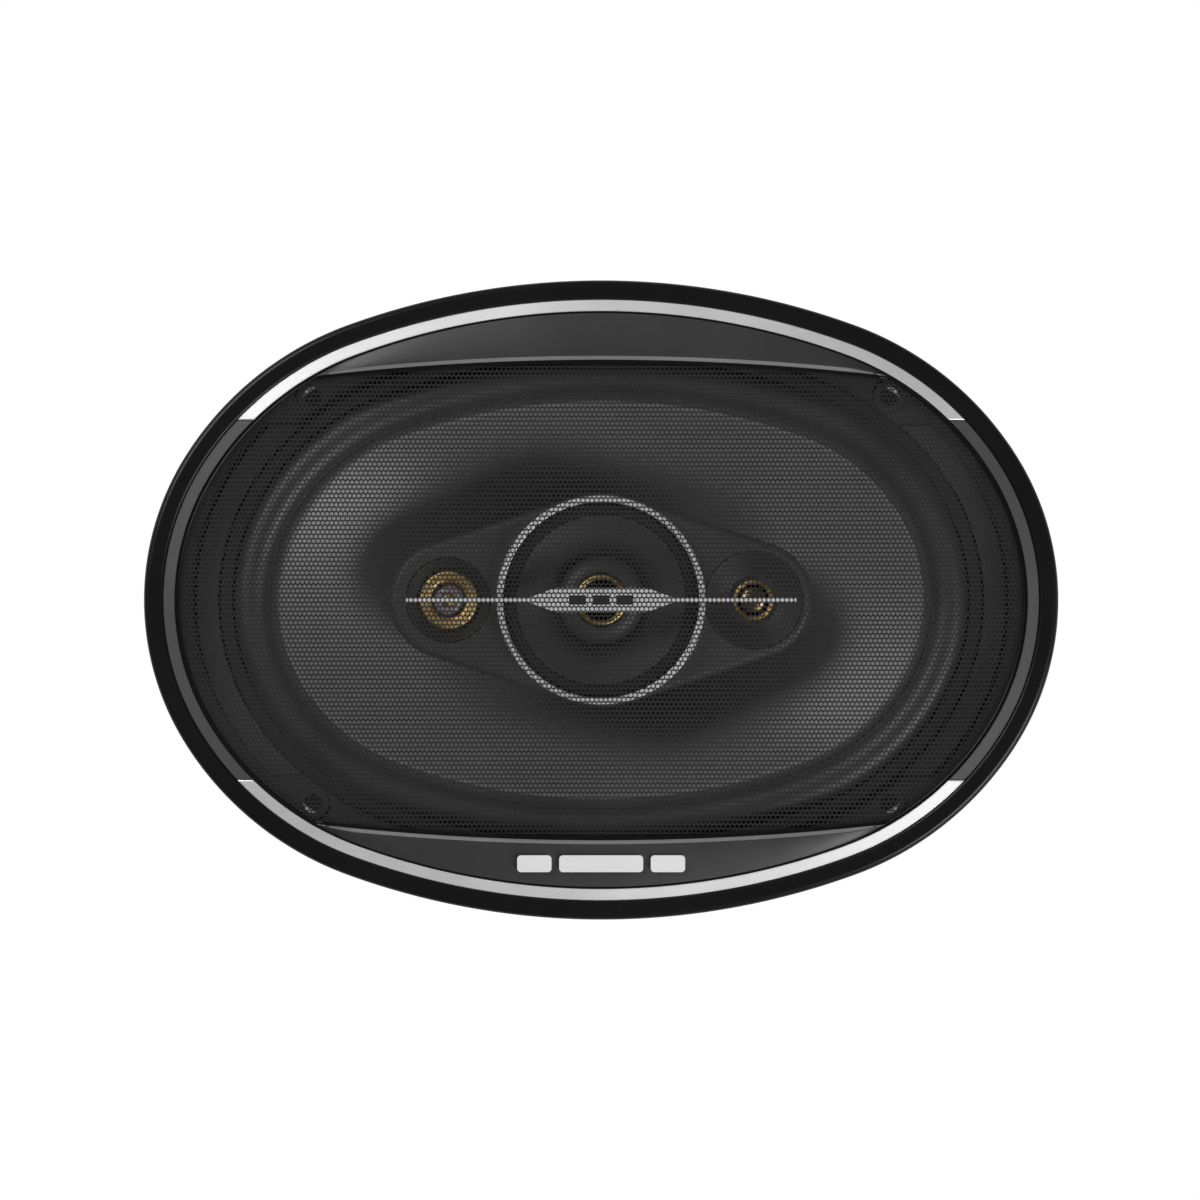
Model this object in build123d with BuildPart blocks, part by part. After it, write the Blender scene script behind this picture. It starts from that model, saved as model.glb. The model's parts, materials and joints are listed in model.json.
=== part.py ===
from build123d import *
import os
from math import cos, sin, radians, degrees

os.makedirs("parts", exist_ok=True)

# A 6 x 9 inch oval coaxial speaker, in millimetres. The origin is the centre of the mounting
# flange's back face, +Z is the way the speaker faces and +X is its long axis.
face_semi = (120.0, 83.9)          # half width and half height of the grille's outline
end_turn = radians(32)             # normal angle where the end arc meets the shoulder arc
flank_turn = radians(70)           # normal angle where the shoulder arc meets the flank arc
shoulder_ratio = 1.187             # shoulder radius over end radius
slack = 0.05                       # glue line between a soft edge and what holds it

# grille
bezel_width = 5.0                  # gloss ring round the grille
bezel_top = 15.5
skirt_wall = 2.2
bed_low, bed_top = 12.6, 14.0      # shelf that carries the trims and the inserts
trim_inset = 5.1
trim_width = 3.0
trim_thickness = 1.0
trim_end = 47.2                    # |y| where bright trim gives way to dark band
insert_inset = 8.6
insert_thickness = 1.3
opening_inset = 9.2
arch_radius = 665.0                # gentle arch of each insert's inner edge
arch_mid = 63.0                    # its |y| on the short axis
mesh_thickness = 0.6
mesh_lap = 1.5                     # how far the mesh runs under the bed
bar_thickness = 0.4                # bright bar glued behind the mesh, with a wider plate in its middle
bar_half = (51.3, 0.62)
plate_half = (12.0, 3.2)
plate_taper = 8.6                  # length over which the plate narrows to the bar
badge_y = -69.1
badge_thickness = 0.7

# woofer
roll_semi = (92.7, 59.7)           # centre line of the surround's half roll
roll_radius = 4.6
roll_wall = 0.6
flange_top = 1.5
flange_inset = 3.7                 # flange edge behind the face outline
landing_out = 8.3                  # surround's glued edge, outward from the roll line
rim_out, rim_in = -4.7, -7.0       # cone's flat rim, from the roll line
basket_wall = 1.2
screw_x, screw_y, screw_r = 76.5, 54.0, 2.5
throat_z = -41.0                   # spider seat
cup_r = 42.2
pan_top, pan_low = -52.8, -54.0
motor_z = (-54.0, -60.0, -77.0, -83.0)     # top plate, magnet, back plate, back
plate_r, magnet_r, magnet_bore = 45.0, 48.0, 22.0
plate_bore, pole_r = 19.1, 16.8
former_r, former_wall = 17.2, 0.4
coil_wall, coil_z = 0.8, (-64.0, -50.0)
neck_z = -34.0
cone_wall = 1.4                    # measured level
cone_sections = [(neck_z, 19.0, 19.0), (-22.0, 37.5, 28.5), (-10.0, 60.5, 39.5)]
spider_r = (41.0, 46.0)            # inner and outer edge of its glued landing

# pod over the cone
pod_back, pod_front = -5.5, 6.5
pod_centre_r, lobe_r, lobe_x = 28.2, 15.6, 40.4
well_r, well_floor, well_back = 26.0, -15.0, -17.0
post_r, post_bore, stem_r = 7.0, 3.0, 5.0
mid_cone_r, mid_inner_r, mid_disc_r, plug_r = 22.5, 11.6, 7.3, 6.9


def oval(semi, grow=0.0, ratio=shoulder_ratio, mode=Mode.ADD):
    # an oval of tangent arcs: end, shoulder, flank and back; grow shifts it along its normals
    make_face(oval_line(semi, grow, ratio).edges(), mode=mode)


def oval_line(semi, grow=0.0, ratio=shoulder_ratio, level=0.0):
    across, up = semi
    ca, sa, cb, sb = cos(end_turn), sin(end_turn), cos(flank_turn), sin(flank_turn)
    p = 1 + (ratio - 1) * ca - ratio * cb
    q = ratio * sb - (ratio - 1) * sa
    det = p * (1 - sb) - q * cb
    r_end = (across * (1 - sb) - up * cb) / det
    r_flank = (up * p - across * q) / det
    r_shoulder = ratio * r_end
    end_x = across - r_end
    shoulder_x = end_x + (r_end - r_shoulder) * ca
    shoulder_y = (r_end - r_shoulder) * sa
    flank_y = up - r_flank
    a, b = degrees(end_turn), degrees(flank_turn)
    arcs = [(end_x, 0, r_end, 0, a), (shoulder_x, shoulder_y, r_shoulder, a, b),
            (0, flank_y, r_flank, b, 180 - b), (-shoulder_x, shoulder_y, r_shoulder, 180 - b, 180 - a),
            (-end_x, 0, r_end, 180 - a, 180 + a), (-shoulder_x, -shoulder_y, r_shoulder, 180 + a, 180 + b),
            (0, -flank_y, r_flank, 180 + b, 360 - b), (shoulder_x, -shoulder_y, r_shoulder, 360 - b, 360 - a),
            (end_x, 0, r_end, 360 - a, 360)]
    with BuildLine(Plane.XY.offset(level)) as line:
        for x, y, radius, start, stop in arcs:
            CenterArc((x, y), radius + grow, start, stop - start)
    return line


def turned(points, x=0.0, mode=Mode.ADD):
    # a solid of revolution about the vertical line through (x, 0), from (radius, z) points
    with BuildSketch(Plane.XZ.shift_origin((x, 0, 0))) as profile:
        with BuildLine():
            Polyline(*points, close=True)
        make_face()
    revolve(profile.sketch, axis=Axis((x, 0, 0), (0, 0, 1)), mode=mode)


def ring_points(inner, outer, low, high):
    return [(inner, low), (outer, low), (outer, high), (inner, high)]


def oval_ring(semi, outer, inner, low, high):
    with BuildSketch(Plane.XY.offset(low)) as profile:
        oval(semi, outer)
        oval(semi, inner, mode=Mode.SUBTRACT)
    extrude(profile.sketch, amount=high - low)


def save(piece, name):
    piece.part.label = name
    export_step(piece.part, f"parts/{name}.step")


# Basket, flange, funnel and cup
opening = 4.7                       # flange opening, from the roll line
funnel_top, funnel_low = -9.0, throat_z
cup_mouth = spider_r[1] + 0.3
lead_x = 9.0                        # flexible leads either side of the lower spoke's middle
with BuildPart() as basket:
    oval_ring(face_semi, -flange_inset, -flange_inset - 2.0, 0, flange_top)
    with BuildSketch():
        oval(face_semi, -flange_inset)
        oval(roll_semi, opening, mode=Mode.SUBTRACT)
    extrude(amount=flange_top)
    # side platforms stand a step higher than the ears that hold the screws
    with BuildSketch(Plane.XY.offset(flange_top)):
        oval(roll_semi, landing_out + 6.2)
        oval(roll_semi, landing_out + 0.5, mode=Mode.SUBTRACT)
        Rectangle(2 * face_semi[0], 92, mode=Mode.INTERSECT)
    extrude(amount=1.2)
    oval_ring(roll_semi, opening + basket_wall, opening, funnel_top, 0)
    # funnel from the oval rim to the round cup
    with BuildSketch(Plane.XY.offset(funnel_top)):
        oval(roll_semi, opening + basket_wall)
    with BuildSketch(Plane.XY.offset(funnel_low)):
        oval((cup_mouth + basket_wall, cup_mouth + basket_wall), ratio=1)
    loft(ruled=True)
    with BuildSketch(Plane.XY.offset(funnel_top)):
        oval(roll_semi, opening)
    with BuildSketch(Plane.XY.offset(funnel_low)):
        oval((cup_mouth, cup_mouth), ratio=1)
    loft(ruled=True, mode=Mode.SUBTRACT)
    # windows between the spokes
    with BuildSketch(Plane.XY.offset(funnel_low)):
        oval((88.0, 60.6))
        oval((56.5, 51.5), ratio=1.05, mode=Mode.SUBTRACT)
        for angle in (0, 38, 142):
            Rectangle(240, 13, rotation=angle, mode=Mode.SUBTRACT)
        Rectangle(38, 200, mode=Mode.SUBTRACT)
    extrude(amount=funnel_top - funnel_low - 0.5, mode=Mode.SUBTRACT)
    # spider seat, cup wall and pan
    turned(ring_points(cup_r - basket_wall, cup_mouth + basket_wall, throat_z - basket_wall, throat_z))
    turned(ring_points(cup_r - basket_wall, cup_r, pan_low, throat_z))
    turned(ring_points(20.0, cup_r, pan_low, pan_top))
    # raised boss round each screw hole
    with BuildSketch(Plane.XY.offset(flange_top)):
        with GridLocations(2 * screw_x, 2 * screw_y, 2, 2):
            Circle(4.2)
    extrude(amount=0.5)
    with BuildSketch():
        with GridLocations(2 * screw_x, 2 * screw_y, 2, 2):
            Circle(screw_r)
    extrude(amount=flange_top + 0.5, mode=Mode.SUBTRACT)
    # eyelets in the lower spoke for the flexible leads
    with BuildSketch(Plane.XZ.offset(40)):
        with Locations((-lead_x, -19.2), (lead_x, -19.2)):
            Circle(2.2)
    extrude(amount=30, mode=Mode.SUBTRACT)
save(basket, "basket")

landing_low = flange_top + slack
landing_top = landing_low + roll_wall
with BuildPart() as front_gasket:
    oval_ring(roll_semi, landing_out, opening + 0.2, landing_top, landing_top + 1.5)
save(front_gasket, "front_gasket")

# Motor
with BuildPart() as top_plate:
    turned(ring_points(plate_bore, plate_r, motor_z[1], motor_z[0]))
save(top_plate, "top_plate")

with BuildPart() as magnet:
    turned(ring_points(magnet_bore, magnet_r, motor_z[2], motor_z[1]))
save(magnet, "magnet")

recess_r, recess_top = 11.5, motor_z[3] + 9.0
groove_top = motor_z[3] + 3.5
with BuildPart() as back_plate:
    turned([(stem_r + 0.2, recess_top), (stem_r + 0.2, motor_z[0]), (pole_r, motor_z[0]),
            (pole_r, motor_z[2]), (plate_r + 1, motor_z[2]), (plate_r + 1, motor_z[3]),
            (recess_r, motor_z[3]), (recess_r, recess_top)])
    # rear groove that carries the pod's lead out to the rim
    with BuildSketch(Plane.XY.offset(motor_z[3])):
        with Locations((0, -30)):
            Rectangle(7, 50)
    extrude(amount=groove_top - motor_z[3], mode=Mode.SUBTRACT)
save(back_plate, "back_plate")

with BuildPart() as shorting_cap:
    turned(ring_points(post_r + 0.1, pole_r - 0.3, motor_z[0], motor_z[0] + 0.6))
save(shorting_cap, "shorting_cap")

# Hollow post from the pole to the pod, held by a nut in the back plate's recess
nut_height = 4.4
stem_end = recess_top - nut_height - 0.4
with BuildPart() as post:
    turned([(post_bore, stem_end), (stem_r, stem_end), (stem_r, motor_z[0]), (post_r, motor_z[0]),
            (post_r, well_back), (post_bore, well_back)])
save(post, "post")

with BuildPart() as post_nut:
    with BuildSketch(Plane.XY.offset(recess_top - nut_height)):
        RegularPolygon(8.5, 6, major_radius=False)
        Circle(stem_r + 0.1, mode=Mode.SUBTRACT)
    extrude(amount=nut_height)
save(post_nut, "post_nut")

# Terminal board on the lower spoke's outer face
spoke = (roll_semi[1] + opening + basket_wall - spider_r[1] - 1.5, funnel_top - funnel_low)
spoke_long = (spoke[0] ** 2 + spoke[1] ** 2) ** 0.5
out_y, out_z = -spoke[1] / spoke_long, -spoke[0] / spoke_long
spoke_middle = (0, -(spider_r[1] + 1.5) - spoke[0] * 0.56, funnel_low + spoke[1] * 0.56)
board = Plane(spoke_middle, x_dir=(1, 0, 0), z_dir=(0, out_y, out_z))
standoff, board_thick = 3.0, 1.6
board_size = (36.0, 20.0)
rivet_pitch = 30.0
board_face = standoff + board_thick
with BuildPart() as terminal_board:
    with BuildSketch(board.offset(standoff)):
        RectangleRounded(*board_size, 2)
        with GridLocations(rivet_pitch, 0, 2, 1):
            Circle(1.3, mode=Mode.SUBTRACT)
    extrude(amount=board_thick)
save(terminal_board, "terminal_board")

with BuildPart() as board_rivets:
    with BuildSketch(board.offset(0.6)):
        with GridLocations(rivet_pitch, 0, 2, 1):
            Circle(2.4)
    extrude(amount=standoff - 0.6)
    with BuildSketch(board.offset(standoff)):
        with GridLocations(rivet_pitch, 0, 2, 1):
            Circle(1.25)
    extrude(amount=board_thick)
    with BuildSketch(board.offset(board_face)):
        with GridLocations(rivet_pitch, 0, 2, 1):
            Circle(2.4)
    extrude(amount=0.7)
save(board_rivets, "board_rivets")


def spade(x, width):
    # a push-on tab that stands out past the board's rear edge, with its foot on the board
    with BuildSketch(board.offset(board_face)) as foot:
        with Locations((x, -1)):
            Rectangle(width, 8)
    extrude(foot.sketch, amount=0.8)
    with BuildSketch(board.offset(board_face)) as tab:
        with Locations((x, -10)):
            Rectangle(width, 14)
        with Locations((x, -13.5)):
            Circle(0.8, mode=Mode.SUBTRACT)
    extrude(tab.sketch, amount=0.8)


with BuildPart() as positive_terminal:
    spade(-6.5, 6.3)
save(positive_terminal, "positive_terminal")

with BuildPart() as negative_terminal:
    spade(6.5, 4.8)
save(negative_terminal, "negative_terminal")

capacitor_r, capacitor_long = 3.1, 18.0
capacitor_end = board.from_local_coords((-capacitor_long / 2, 6.2, board_face + capacitor_r + 0.1))
with BuildPart() as capacitor:
    with BuildSketch(Plane(capacitor_end, x_dir=(0, 0, 1), z_dir=(1, 0, 0))):
        Circle(capacitor_r)
    extrude(amount=capacitor_long)
save(capacitor, "capacitor")

# Woofer diaphragm and its suspension
cone_top = flange_top
with BuildPart() as woofer_cone:
    oval_ring(roll_semi, rim_out, rim_in, cone_top - 0.8, cone_top)
    outside, inside = [], []
    for z, across, up in cone_sections + [(cone_top, roll_semi[0] + rim_in, roll_semi[1] + rim_in)]:
        for loops, grow in ((outside, cone_wall / 2), (inside, -cone_wall / 2)):
            ratio = 1 if across == up else shoulder_ratio
            with BuildSketch(Plane.XY.offset(z)) as section:
                oval((across, up), grow, ratio)
            loops.append(section.sketch)
    loft(outside, ruled=True)
    loft(inside, ruled=True, mode=Mode.SUBTRACT)
save(woofer_cone, "woofer_cone")

with BuildPart() as surround:
    roll_path = oval_line(roll_semi, level=landing_low)
    with BuildSketch(Plane.XZ) as roll:
        with BuildLine():
            crown = (roll_semi[0], landing_low)
            outer_arc = CenterArc(crown, roll_radius, 0, 180)
            inner_arc = CenterArc(crown, roll_radius - roll_wall, 0, 180)
            Line(outer_arc @ 0, inner_arc @ 0)
            Line(outer_arc @ 1, inner_arc @ 1)
        make_face()
    sweep(roll.sketch, path=roll_path.wires()[0])
    oval_ring(roll_semi, landing_out, roll_radius - 0.3, landing_low, landing_top)
    oval_ring(roll_semi, 0.3 - roll_radius, rim_in + 0.3, landing_low, landing_top)
save(surround, "surround")

with BuildPart() as coil_former:
    turned(ring_points(former_r, former_r + former_wall, coil_z[0], neck_z + 1))
save(coil_former, "coil_former")

coil_outer = former_r + former_wall + coil_wall
with BuildPart() as voice_coil:
    turned(ring_points(former_r + former_wall, coil_outer, *coil_z))
save(voice_coil, "voice_coil")

collar_r = former_r + former_wall
with BuildPart() as neck_ring:
    turned([(collar_r, neck_z - 2.6), (collar_r + 1.2, neck_z - 2.6), (collar_r + 2.2, neck_z - 0.6),
            (collar_r + 2.0, neck_z), (collar_r, neck_z)])
save(neck_ring, "neck_ring")

# corrugated disc from the former's collar to the seat
spider_z, spider_wall, wave, wave_count = throat_z + slack, 0.5, 1.6, 5
wave_start = collar_r + 1.4
wave_pitch = (spider_r[0] - wave_start) / wave_count
wave_line = []
for i in range(2 * wave_count):
    lift = wave if i % 2 else 0
    wave_line.append((wave_start + wave_pitch * i / 2, spider_z + lift))
with BuildPart() as spider:
    low_edge = [(collar_r, spider_z)] + wave_line + [(spider_r[0], spider_z), (spider_r[1], spider_z)]
    high_edge = [(r, z + spider_wall) for r, z in reversed(low_edge)]
    turned(low_edge + high_edge)
    turned(ring_points(collar_r, collar_r + 0.8, spider_z, spider_z + 3))
save(spider, "spider")

# Flexible leads from the board, through the spoke's eyelets, to the back of the cone
with BuildPart() as tinsel_leads:
    for x in (-lead_x, lead_x):
        with BuildLine() as lead:
            FilletPolyline((x, -61.9, -20.9), (x, -54.5, -17.4), (x, -46.5, -22.0), (x, -38.5, -28.5),
                           (x, -29.8, -22.6), radius=4.5)
        with BuildSketch(Plane(lead.line @ 0, z_dir=lead.line % 0)) as wire:
            Circle(0.8)
        sweep(wire.sketch, path=lead.wires()[0])
save(tinsel_leads, "tinsel_leads")

# Pod over the cone
with BuildPart() as pod_housing:
    with BuildSketch(Plane.XY.offset(pod_back)):
        Circle(pod_centre_r)
        with Locations((-lobe_x, 0), (lobe_x, 0)):
            Circle(lobe_r)
        make_hull()
    extrude(amount=pod_front - pod_back)
    fillet(faces().sort_by(Axis.Z)[-1].edges(), 2.0)
    turned([(0, well_back), (pod_centre_r - 1.7, well_back), (pod_centre_r, well_back + 3),
            (pod_centre_r, 0), (0, 0)])
    turned(ring_points(0, well_r, well_floor, pod_front + 1), mode=Mode.SUBTRACT)
    for x, radius in ((-lobe_x, 11.3), (lobe_x, 13.1)):
        turned(ring_points(0, radius, pod_back + 1.5, pod_front + 1), x, Mode.SUBTRACT)
    with BuildSketch(Plane.XY.offset(well_back)):
        Circle(post_bore)
    extrude(amount=well_floor - well_back, mode=Mode.SUBTRACT)
save(pod_housing, "pod_housing")

with BuildPart() as pod_cover:
    with BuildSketch(Plane.XY.offset(pod_back - 1.2)):
        with Locations((-lobe_x, 0), (lobe_x, 0)):
            Circle(lobe_r - 3.9)
    extrude(amount=1.2)
save(pod_cover, "pod_cover")

with BuildPart() as pod_screws:
    with BuildSketch(Plane.XY.offset(pod_back - 2.4)):
        with Locations((-lobe_x - 8, 0), (lobe_x + 8, 0)):
            Circle(2.0)
    extrude(amount=1.2)
save(pod_screws, "pod_screws")

# Midrange unit in the pod's well
ring_top = 10.6
with BuildPart() as mid_trim_ring:
    turned([(well_r, pod_front), (27.6, pod_front), (27.6, ring_top - 1.0), (27.1, ring_top),
            (26.3, ring_top), (25.8, ring_top - 1.0), (25.8, pod_front + 0.8), (well_r, pod_front + 0.8)])
save(mid_trim_ring, "mid_trim_ring")

frame_r, mid_z = well_r - 0.2, 6.0
with BuildPart() as mid_frame:
    turned([(frame_r - 3.0, mid_z), (frame_r, mid_z), (frame_r, 3.0), (frame_r - 0.8, -5.5),
            (19.5, -8.0), (14.2, -8.0), (14.2, -6.8), (18.6, -6.8), (24.0, -4.8), (24.2, 4.8),
            (frame_r - 3.0, 4.8)])
    for angle in range(0, 180, 60):
        with BuildSketch(Plane.XZ.rotated((0, 0, angle)).offset(-40)) as vent:
            with Locations((0, -1)):
                Rectangle(12, 5)
        extrude(vent.sketch, amount=80, mode=Mode.SUBTRACT)
save(mid_frame, "mid_frame")

with BuildPart() as mid_top_plate:
    turned(ring_points(12.0, 17.5, -9.8, -8.0))
save(mid_top_plate, "mid_top_plate")

with BuildPart() as mid_magnet:
    turned(ring_points(13.5, 18.0, -13.4, -9.8))
save(mid_magnet, "mid_magnet")

with BuildPart() as mid_yoke:
    turned([(0, well_floor), (17.5, well_floor), (17.5, -13.4), (10.3, -13.4), (10.3, -8.0), (0, -8.0)])
save(mid_yoke, "mid_yoke")

with BuildPart() as mid_plug:
    turned([(0, -8.0), (plug_r - 2, -8.0), (plug_r, 0.2), (plug_r, 3.4), (plug_r - 1.2, 4.0), (4.2, 1.2),
            (0, 0.2)])
save(mid_plug, "mid_plug")

with BuildPart() as mid_cone:
    turned([(mid_inner_r, -2.4), (mid_cone_r, 5.3), (mid_cone_r, mid_z), (17.0, 2.6), (mid_inner_r, -1.7)])
save(mid_cone, "mid_cone")

with BuildPart() as mid_disc:
    turned([(mid_disc_r, 0.4), (9.0, 0.2), (mid_inner_r, -1.7), (mid_inner_r + 0.3, -1.45),
            (9.2, 0.7), (mid_disc_r, 1.0)])
save(mid_disc, "mid_disc")

mid_roll = (24.1, mid_z + slack)
with BuildPart() as mid_surround:
    with BuildSketch(Plane.XZ) as mid_roll_section:
        with BuildLine():
            high_arc = CenterArc(mid_roll, 1.5, 0, 180)
            low_arc = CenterArc(mid_roll, 1.15, 0, 180)
            Line(high_arc @ 0, low_arc @ 0)
            Line(high_arc @ 1, low_arc @ 1)
        make_face()
    revolve(mid_roll_section.sketch, axis=Axis.Z)
save(mid_surround, "mid_surround")

with BuildPart() as mid_coil:
    turned(ring_points(10.8, 11.5, -11.4, -2.4))
save(mid_coil, "mid_coil")

# Two small units in the lobes: x, outer radius, dish radius, seat radius, seat height, throat radius
units = {"tweeter": (-lobe_x, 11.2, 10.7, 8.0, 3.0, 4.6),
         "super_tweeter": (lobe_x, 13.0, 12.6, 6.7, 1.7, 4.2)}
yoke_low, yoke_r, shell = pod_back + 1.5, 8.3, 0.15
for unit, (x, outer_r, dish_r, seat_r, seat_z, throat_r) in units.items():
    under = seat_z - 1.0
    with BuildPart() as face:
        turned([(throat_r, seat_z), (seat_r, seat_z), (dish_r, pod_front - 0.5), (outer_r, pod_front - 0.5),
                (outer_r, yoke_low), (yoke_r + 0.1, yoke_low), (yoke_r + 0.1, under), (throat_r, under)], x)
    save(face, f"{unit}_face")
    ring_r = seat_r - 0.2 if unit == "tweeter" else seat_r - 1.2
    with BuildPart() as trim_ring:
        turned([(throat_r, seat_z), (ring_r, seat_z), (ring_r, seat_z + 1.0), (ring_r - 0.5, seat_z + 1.5),
                (throat_r + 0.6, seat_z + 1.2), (throat_r, seat_z + 0.6)], x)
    save(trim_ring, f"{unit}_ring")
    with BuildPart() as yoke:
        turned([(0, yoke_low), (yoke_r, yoke_low), (yoke_r, under - 0.1), (yoke_r - 1.4, under - 0.1),
                (yoke_r - 1.4, yoke_low + 1.4), (0, yoke_low + 1.4)], x)
    save(yoke, f"{unit}_yoke")
    pole_top = under - 1.1
    with BuildPart() as unit_magnet:
        turned(ring_points(0, throat_r - 0.6, yoke_low + 1.4, pole_top), x)
    save(unit_magnet, f"{unit}_magnet")
    skirt = under - 0.5
    hole_r = 1.9 if unit == "tweeter" else 0.0
    crest = skirt + 1.7
    with BuildPart() as dome:
        turned([(throat_r + 0.9, skirt - shell), (throat_r + 0.9, skirt), (throat_r - 0.3, skirt),
                (throat_r * 0.7, skirt + 1.1), (hole_r, crest), (hole_r, crest - shell),
                (throat_r * 0.7 - 0.1, skirt + 0.95), (throat_r - 0.5, skirt - shell)], x)
    save(dome, f"{unit}_dome")
    with BuildPart() as unit_coil:
        turned(ring_points(throat_r + 0.2, throat_r + 0.7, skirt - 2.2, skirt - shell), x)
    save(unit_coil, f"{unit}_coil")

plug_low, plug_mid = 0.9, 3.9       # the tweeter's fixed plug, from its magnet to above the dome
with BuildPart() as tweeter_plug:
    turned([(0, plug_low), (1.2, plug_low), (1.2, plug_mid - 0.4), (1.6, plug_mid), (1.3, plug_mid + 0.6),
            (0, plug_mid + 0.8)], -lobe_x)
save(tweeter_plug, "tweeter_plug")

# The pod's twin lead: down the hollow post, along the rear groove, up to the board
with BuildPart() as pod_lead:
    groove_z = motor_z[3] + 1.6
    rim_y = -magnet_r - 4.0
    with BuildLine() as lead:
        FilletPolyline((0, 0, well_back + 1.0), (0, 0, groove_z), (0, rim_y, groove_z),
                       (0, rim_y, -52.0), board.from_local_coords((0, -15, board_face + 2.6)),
                       board.from_local_coords((0, -3, board_face + 1.5)), radius=2.5)
    with BuildSketch(Plane(lead.line @ 0, z_dir=lead.line % 0)) as wire:
        Circle(1.2)
    sweep(wire.sketch, path=lead.wires()[0])
save(pod_lead, "pod_lead")

# Grille: gloss frame, perforated sheet, trims and inserts


def arch_cut(y_mid, mode):
    # keeps what lies inside both arches, or cuts away what lies inside one
    for side in (1, -1):
        with Locations((0, side * (y_mid - arch_radius))):
            Circle(arch_radius, mode=mode)


with BuildPart() as grille_frame:
    with BuildSketch():
        oval(face_semi)
    extrude(amount=bezel_top)
    fillet(faces().sort_by(Axis.Z)[-1].edges(), 2.4)
    with BuildSketch(Plane.XY.offset(bed_top)):
        oval(face_semi, -bezel_width)
    extrude(amount=bezel_top - bed_top, mode=Mode.SUBTRACT)
    with BuildSketch():
        oval(face_semi, -skirt_wall)
    extrude(amount=bed_low, mode=Mode.SUBTRACT)
    with BuildSketch():
        oval(face_semi, -opening_inset)
        arch_cut(arch_mid - 0.8, Mode.INTERSECT)
    extrude(amount=bezel_top, mode=Mode.SUBTRACT)
save(grille_frame, "grille_frame")

with BuildPart() as grille_mesh:
    with BuildSketch(Plane.XY.offset(bed_low - mesh_thickness)):
        oval(face_semi, mesh_lap - opening_inset)
        arch_cut(arch_mid - 0.8 + mesh_lap, Mode.INTERSECT)
    extrude(amount=mesh_thickness)
save(grille_mesh, "grille_mesh")

with BuildPart() as centre_bar:
    with BuildSketch(Plane.XY.offset(bed_low - mesh_thickness - bar_thickness)):
        Rectangle(2 * bar_half[0], 2 * bar_half[1])
        with BuildLine():
            Polyline((plate_half[0] + plate_taper, 0), plate_half, (-plate_half[0], plate_half[1]),
                     (-plate_half[0] - plate_taper, 0), (-plate_half[0], -plate_half[1]),
                     (plate_half[0], -plate_half[1]), close=True)
        make_face()
    extrude(amount=bar_thickness)
save(centre_bar, "centre_bar")


def trim(low_y, high_y):
    with BuildSketch(Plane.XY.offset(bed_top)) as profile:
        oval(face_semi, -trim_inset)
        oval(face_semi, -trim_inset - trim_width, mode=Mode.SUBTRACT)
        with Locations((0, (low_y + high_y) / 2)):
            Rectangle(2 * face_semi[0], high_y - low_y, mode=Mode.INTERSECT)
    extrude(profile.sketch, amount=trim_thickness)


with BuildPart() as trim_top:
    trim(trim_end, face_semi[1])
save(trim_top, "trim_top")

with BuildPart() as trim_bottom:
    trim(-face_semi[1], -trim_end)
save(trim_bottom, "trim_bottom")

with BuildPart() as side_bands:
    trim(0.15 - trim_end, trim_end - 0.15)
save(side_bands, "side_bands")


def insert(side):
    with BuildSketch(Plane.XY.offset(bed_top)) as profile:
        oval(face_semi, -insert_inset)
        with Locations((0, side * (arch_mid - arch_radius))):
            Circle(arch_radius, mode=Mode.SUBTRACT)
    extrude(profile.sketch, amount=insert_thickness)


with BuildPart() as insert_top:
    insert(1)
    chamfer(edges().group_by(Axis.Z)[-1].sort_by(Axis.Y)[0], 0.7)
save(insert_top, "insert_top")

with BuildPart() as insert_bottom:
    insert(-1)
    chamfer(edges().group_by(Axis.Z)[-1].sort_by(Axis.Y)[-1], 0.7)
save(insert_bottom, "insert_bottom")

with BuildPart() as badge:
    with BuildSketch(Plane.XY.offset(bed_top + insert_thickness)):
        for x, wide in ((-17.5, 9), (0, 22), (17.5, 9)):
            with Locations((x, badge_y)):
                RectangleRounded(wide, 4.4, 1.0)
    extrude(amount=badge_thickness)
save(badge, "badge")

with BuildPart() as grille_clips:
    clip_high, clip_wide = 8.0, 10.0
    for x, y, turn in ((face_semi[0], 0, 0), (0, face_semi[1], 90), (-face_semi[0], 0, 180),
                       (0, -face_semi[1], 270)):
        inward = Plane((x, y, 1.0)).rotated((0, 0, turn))
        with BuildSketch(inward) as strip:
            with Locations((-skirt_wall - 0.55, 0)):
                Rectangle(0.5, clip_wide)
        extrude(strip.sketch, amount=clip_high)
save(grille_clips, "grille_clips")
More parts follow.
